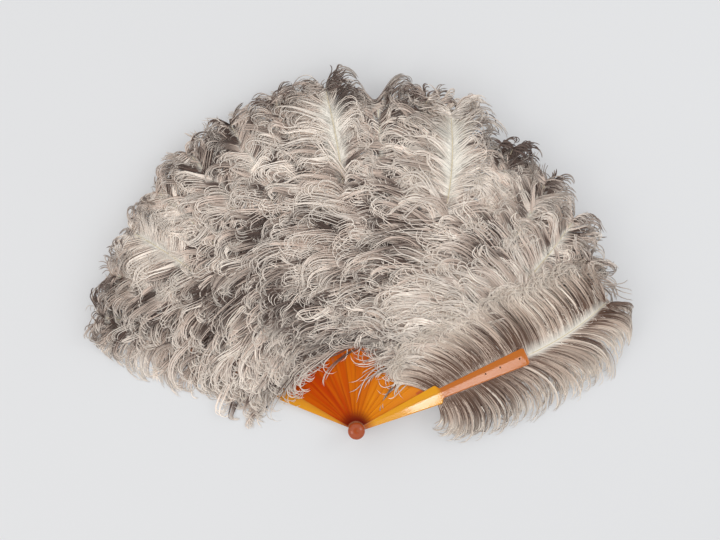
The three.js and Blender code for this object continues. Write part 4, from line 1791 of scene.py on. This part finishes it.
    def _colours(
        self, layer: BarbLayer, placed: Array, share: Array, lock: Array, taken: Array
    ) -> dict[str, Array]:
        """Works out width and colour values of every barb.

        Args:
            layer: the layer the barbs belong to.
            placed: their points in the row frame.
            share: where on the shaft each grows.
            lock: the lock each belongs to.
            taken: where along each barb its points lie.

        Returns:
            Radius and colour values at every point.
        """
        rng, n, tint = self.rng, len(lock), self.tint
        locks = lock.max() + 1
        dusk = np.full(n, tint.dusk + layer.dusk) + rng.normal(0, tint.barb_dusk, n)
        dusk = dusk + rng.normal(0, tint.lock_dusk, locks)[lock]
        dusk = dusk + tint.root_dusk * (1 - tint.root(share))
        middle = placed[:, self.points // 2]
        marked = tint.barb_mark * marking_dusk(middle)[:, None] + tint.point_mark * marking_dusk(placed)
        dusk = dusk[:, None] + marked
        tone = tint.tone + rng.normal(0, tint.own_uneven * tint.uneven, n)
        tone = tone + rng.normal(0, tint.uneven, locks)[lock]
        dark = tint.tip(share) * rng.uniform(*tint.tip_dark) + rng.normal(0, tint.dark_spread, n)
        dark = dark[:, None] + tint.dark_gain * np.clip(dusk - tint.dark_from, 0, 1)
        band = tint.band + tint.bold_band * self.bold**2 * tint.bold_part(share)
        band = (band * rng.uniform(*tint.band_range, locks)[lock] + layer.whiteness)[:, None]
        white = smooth(0.0, 1.0, (band - taken) / (tint.band_soft * band)) * (1 - np.clip(marked, 0, 1))
        blunt = Habit.ROOT_TAPER + (Habit.TIED_TAPER * self._tied_share(layer, share))[:, None]
        taper = np.clip(taken / blunt, 0, 1) * Growth.TAPER(taken)
        width = layer.half_width * rng.uniform(*Habit.WIDTH_RANGE, n)
        shades = {"tone": tone[:, None], "dark_tip": dark, "dusk": dusk}
        values = {key: np.broadcast_to(np.clip(shade, 0, 1), taken.shape) for key, shade in shades.items()}
        return {"radius": width[:, None] * taper, "along": taken, "white": white, **values}

    def build(
        self, palette: Palette, layers: tuple[Barbs, ...], flat_sweep: StrandSweep, round_sweep: StrandSweep
    ) -> list[Object]:
        """Makes the plume's barbs and shaft, and puts them on its blade.

        Args:
            palette: the fan's materials.
            layers: the layers of barbs it carries, from the lowest up.
            flat_sweep: what every barb is made with.
            round_sweep: what the shaft is made with.

        Returns:
            The barbs and the shaft.
        """
        grown = [self.strands(layer.value) for layer in layers]
        joined = {key: np.concatenate([g[key] for g in grown]) for key in grown[0]}
        material = palette.front_barb if self.front else palette.barb
        barbs = dress(flat_sweep.piece(self.node + "_barbs", joined), material)
        mount(barbs, self.body, self.node)
        return [self._pressed(barbs), self._pressed(self._shaft_piece(palette.shaft, round_sweep))]

    def _pressed(self, piece: Object) -> Object:
        """Gives a piece a mesh of its own."""
        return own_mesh(piece)

    def _shaft_piece(self, material: Material, sweep: StrandSweep) -> Object:
        """The bare quill and shaft, tapering to the tip.

        Args:
            material: the horn it is made of.
            sweep: what it is made with.

        Returns:
            The shaft.
        """
        share = np.linspace(0, 1, self.shaft_points)
        points, _ = self.shaft(share)
        bare = smooth(0, self.cover_end, points[:, 0] - self.bend_start)
        radius = np.interp(share, Growth.SHAFT_TAPER_AT, [0, self.shaft_radius, self.shaft_tip_radius, 0])
        radius = radius * (self.covered_radius + (1 - self.covered_radius) * bare)
        points[:, 2] += self.shaft_lift * self.bold**2 * Growth.SHAFT_SHOWS(share)
        strands = {
            "points": self.room.hold(self.into_row(points))[None],
            "radius": radius[None],
            "along": share[None],
        }
        piece = dress(sweep.piece(self.node + "_shaft", strands), material)
        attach(piece, self.body)
        return piece


@dataclass
class Studio:
    """Table, soft lights and the camera."""

    elevation_deg: float = 88.0
    roll_deg: float = 1.75
    distance: float = 1.612
    aim: Vector = field(default_factory=lambda: Vector((-0.0015, 0.1823, 0.0)))
    lens: float = 70.0
    sensor: float = 36.0
    table_size: float = 8.0
    table_colour: Colour = srgb(228, 228, 229)
    table_glow: float = 0.4
    table_shade: float = 0.97
    table_gap: float = 0.2 * MM
    table_noise: Pair = (3.0, 2.0)
    sky_colour: Colour = (0.97, 0.985, 1.0, 1.0)
    horizon: tuple[float, ...] = (0.0, 0.4, 0.36, 1.0)
    zenith: tuple[float, ...] = (0.86, 0.95, 1.0, 0.25)

    def build(self) -> None:
        """Sets up everything that isn't part of the fan."""
        self._camera()
        self._table()
        self._world()
        self._lamp("overhead_box", (0.3, 0.01, 1.62), (0.16, 0.06, 0.0), (0.26, 0.14), 0.8, (1.0, 0.98, 0.95))
        self._lamp("glint_box", (0.15, -0.05, 1.62), (0.07, 0.03, 0.0), (0.08, 0.05), 0.36, (1.0, 0.99, 0.97))
        self._lamp("left_box", (-1.3, -0.5, 1.3), (0.0, 0.15, 0.0), (0.8, 0.8), 4.6, (1.0, 0.96, 0.9))
        self._lamp("right_box", (1.3, 0.7, 1.3), (0.0, 0.15, 0.0), (0.7, 0.7), 4.0, (0.92, 0.97, 1.0))
        bpy.context.scene.view_settings.view_transform = "Standard"

    def _camera(self) -> None:
        """The camera, looking down at the open fan."""
        tilt = math.radians(self.elevation_deg)
        back = Vector((0, -math.cos(tilt), math.sin(tilt)))
        data = bpy.data.cameras.new("camera")
        data.lens, data.sensor_width = self.lens, self.sensor
        camera = new_object("camera", data)
        turn = (-back).to_track_quat("-Z", "Y").to_matrix().to_4x4()
        roll = Matrix.Rotation(math.radians(self.roll_deg), 4, "Z")
        camera.matrix_world = Matrix.Translation(self.aim + back * self.distance) @ turn @ roll
        bpy.context.scene.camera = camera

    def _table(self) -> None:
        """The plain pale table top, a hair below the fan."""
        bm = bmesh.new()
        bmesh.ops.create_grid(bm, x_segments=4, y_segments=4, size=self.table_size / 2)
        bmesh.ops.translate(bm, verts=bm.verts, vec=(0, 0, -self.table_gap))
        table = new_object("table_top", mesh_of(bm, "table_top"))
        material, sheet, shader = new_material("table_paper")
        darker = tuple(self.table_shade * c for c in self.table_colour[:3]) + (1.0,)
        sheet.feed(
            shader,
            Base_Color=sheet.mix(sheet.noise(sheet.place(), *self.table_noise), self.table_colour, darker),
            Roughness=0.85,
            Specular_IOR_Level=0.2,
        )
        ray = sheet.add("LightPath").outputs
        seen = sheet.math("MAXIMUM", ray["Is Camera Ray"], ray["Is Glossy Ray"])
        seen = sheet.math("MAXIMUM", seen, ray["Is Transmission Ray"])
        glow = sheet.feed(sheet.add("Emission"), Color=self.table_colour, Strength=1.0).outputs[0]
        pale = sheet.add("MixShader")
        sheet.feed(pale, i0=sheet.math("MULTIPLY", seen, self.table_glow), i1=shader.outputs[0], i2=glow)
        sheet.feed(material.node_tree.nodes["Material Output"], Surface=pale.outputs[0])
        dress(table, material)

    def _world(self) -> None:
        """Soft light from all round, less near the horizon and right overhead."""
        world = bpy.data.worlds.new("studio_light")
        bpy.context.scene.world = world
        world.use_nodes = True
        sheet = NodeSheet(world.node_tree)
        up = sheet.feed(sheet.add("SeparateXYZ"), Vector=sheet.add("TexCoord").outputs["Generated"]).outputs[2]
        sheet.feed(
            world.node_tree.nodes["Background"],
            Color=self.sky_colour,
            Strength=sheet.math("MULTIPLY", sheet.ramp(up, *self.horizon), sheet.ramp(up, *self.zenith)),
        )

    @staticmethod
    def _lamp(name: str, place: Point, target: Point, size: Pair, power: float, colour: Point) -> None:
        """One soft box, aimed at a point.

        Args:
            name: the lamp's name.
            place: where it hangs.
            target: the point it is aimed at.
            size: its two sides.
            power: its power in watts.
            colour: its colour.
        """
        data = bpy.data.lights.new(name, "AREA")
        data.shape, data.size, data.size_y = "RECTANGLE", size[0], size[1]
        data.energy, data.color = power, colour
        lamp = new_object(name, data)
        lamp.location = place
        lamp.rotation_euler = (Vector(target) - Vector(place)).to_track_quat("-Z", "Y").to_euler()


# Boldness, bow and extra layers by a plume's place in the row, 0 for the back guard's
PLAIN = 0.25
BOLD = {2: 0.6, 5: 0.4, 7: 1.0, 10: 1.0, 12: 0.45, 13: 0.6, 15: 0.3}
BOW = 16 * MM
BOWS = {10: 40 * MM}
SKIRTED = (0,)
LOOPED = (3, 4, 5, 6, 7, 8)
DRAPED = (11, 12, 13, 14)
DOWNY = (2, 7, 10)
FIRST_SEED = 100


@dataclass
class Fan:
    """The whole fan, piece by piece."""

    spread: Spread = field(default_factory=Spread)
    stick_edge: float = 0.12 * MM
    guard_edge: float = 0.22 * MM
    rib_cover: float = 4 * MM
    guard_cover: float = 11 * MM

    def build(self) -> None:
        """Builds and dresses every sub-assembly in order."""
        palette = Palette()
        self._report("rivet", RivetSet().build(palette))
        self._report("quill pins", QuillPins().build(palette.pin))
        self._report("ribbon", Ribbons(self.spread).build(palette.silk))
        for index in range(self.spread.last + 1):
            guard = self.spread.is_guard(index)
            blade, _, body = self.spread.nodes(index)
            slot, edge = ("amber_guard", self.guard_edge) if guard else ("amber_stick", self.stick_edge)
            piece = Blade(blade, body, slot, edge).build(palette.guard if guard else palette.stick)
            self._report("blade", [piece])
        sweeps = StrandSweep.flat(), StrandSweep.round()
        for index in range(self.spread.last + 1):
            plume = Plume(
                self.spread,
                index,
                self.guard_cover if self.spread.is_guard(index) else self.rib_cover,
                bold=BOLD.get(index, PLAIN),
                bold_beside=BOLD.get(index - 1, PLAIN),
                bow=BOWS.get(index, BOW),
                seed=FIRST_SEED + index,
            )
            self._report("plume", plume.build(palette, self._layers(index), *sweeps))
        for sweep in sweeps:
            sweep.remove()

    def _layers(self, index: int) -> tuple[Barbs, ...]:
        """The layers of barbs on a plume, from the lowest up.

        Args:
            index: the plume's place in the row.

        Returns:
            The layers.
        """
        if index == self.spread.last:
            return Barbs.SHADE_LINING, Barbs.NEAT, Barbs.NEAT, Barbs.LINES, Barbs.CREST, Barbs.CREST, Barbs.DOWN
        full = (Barbs.UNDER, Barbs.BASE, Barbs.RIM, Barbs.MIDDLE, Barbs.UPPER, Barbs.FRILL)
        extra = ((SKIRTED, Barbs.SKIRT), (LOOPED, Barbs.LOOP), (DRAPED, Barbs.DRAPE), (DOWNY, Barbs.DOWN))
        return full + tuple(layer for plumes, layer in extra if index in plumes)

    @staticmethod
    def _report(what: str, pieces: list[Object]) -> None:
        """Logs the pieces that were made."""
        for piece in pieces:
            LOG.info("%s: %s, %d faces", what, piece.name, len(piece.data.polygons))


def write_sizes() -> None:
    """Brings the view layer up to date."""
    bpy.context.view_layer.update()


def main() -> None:
    """Builds the studio and the fan."""
    logging.basicConfig(level=logging.INFO, format="%(name)s: %(message)s")
    Studio().build()
    Fan().build()
    write_sizes()


if __name__ == "__main__":
    main()
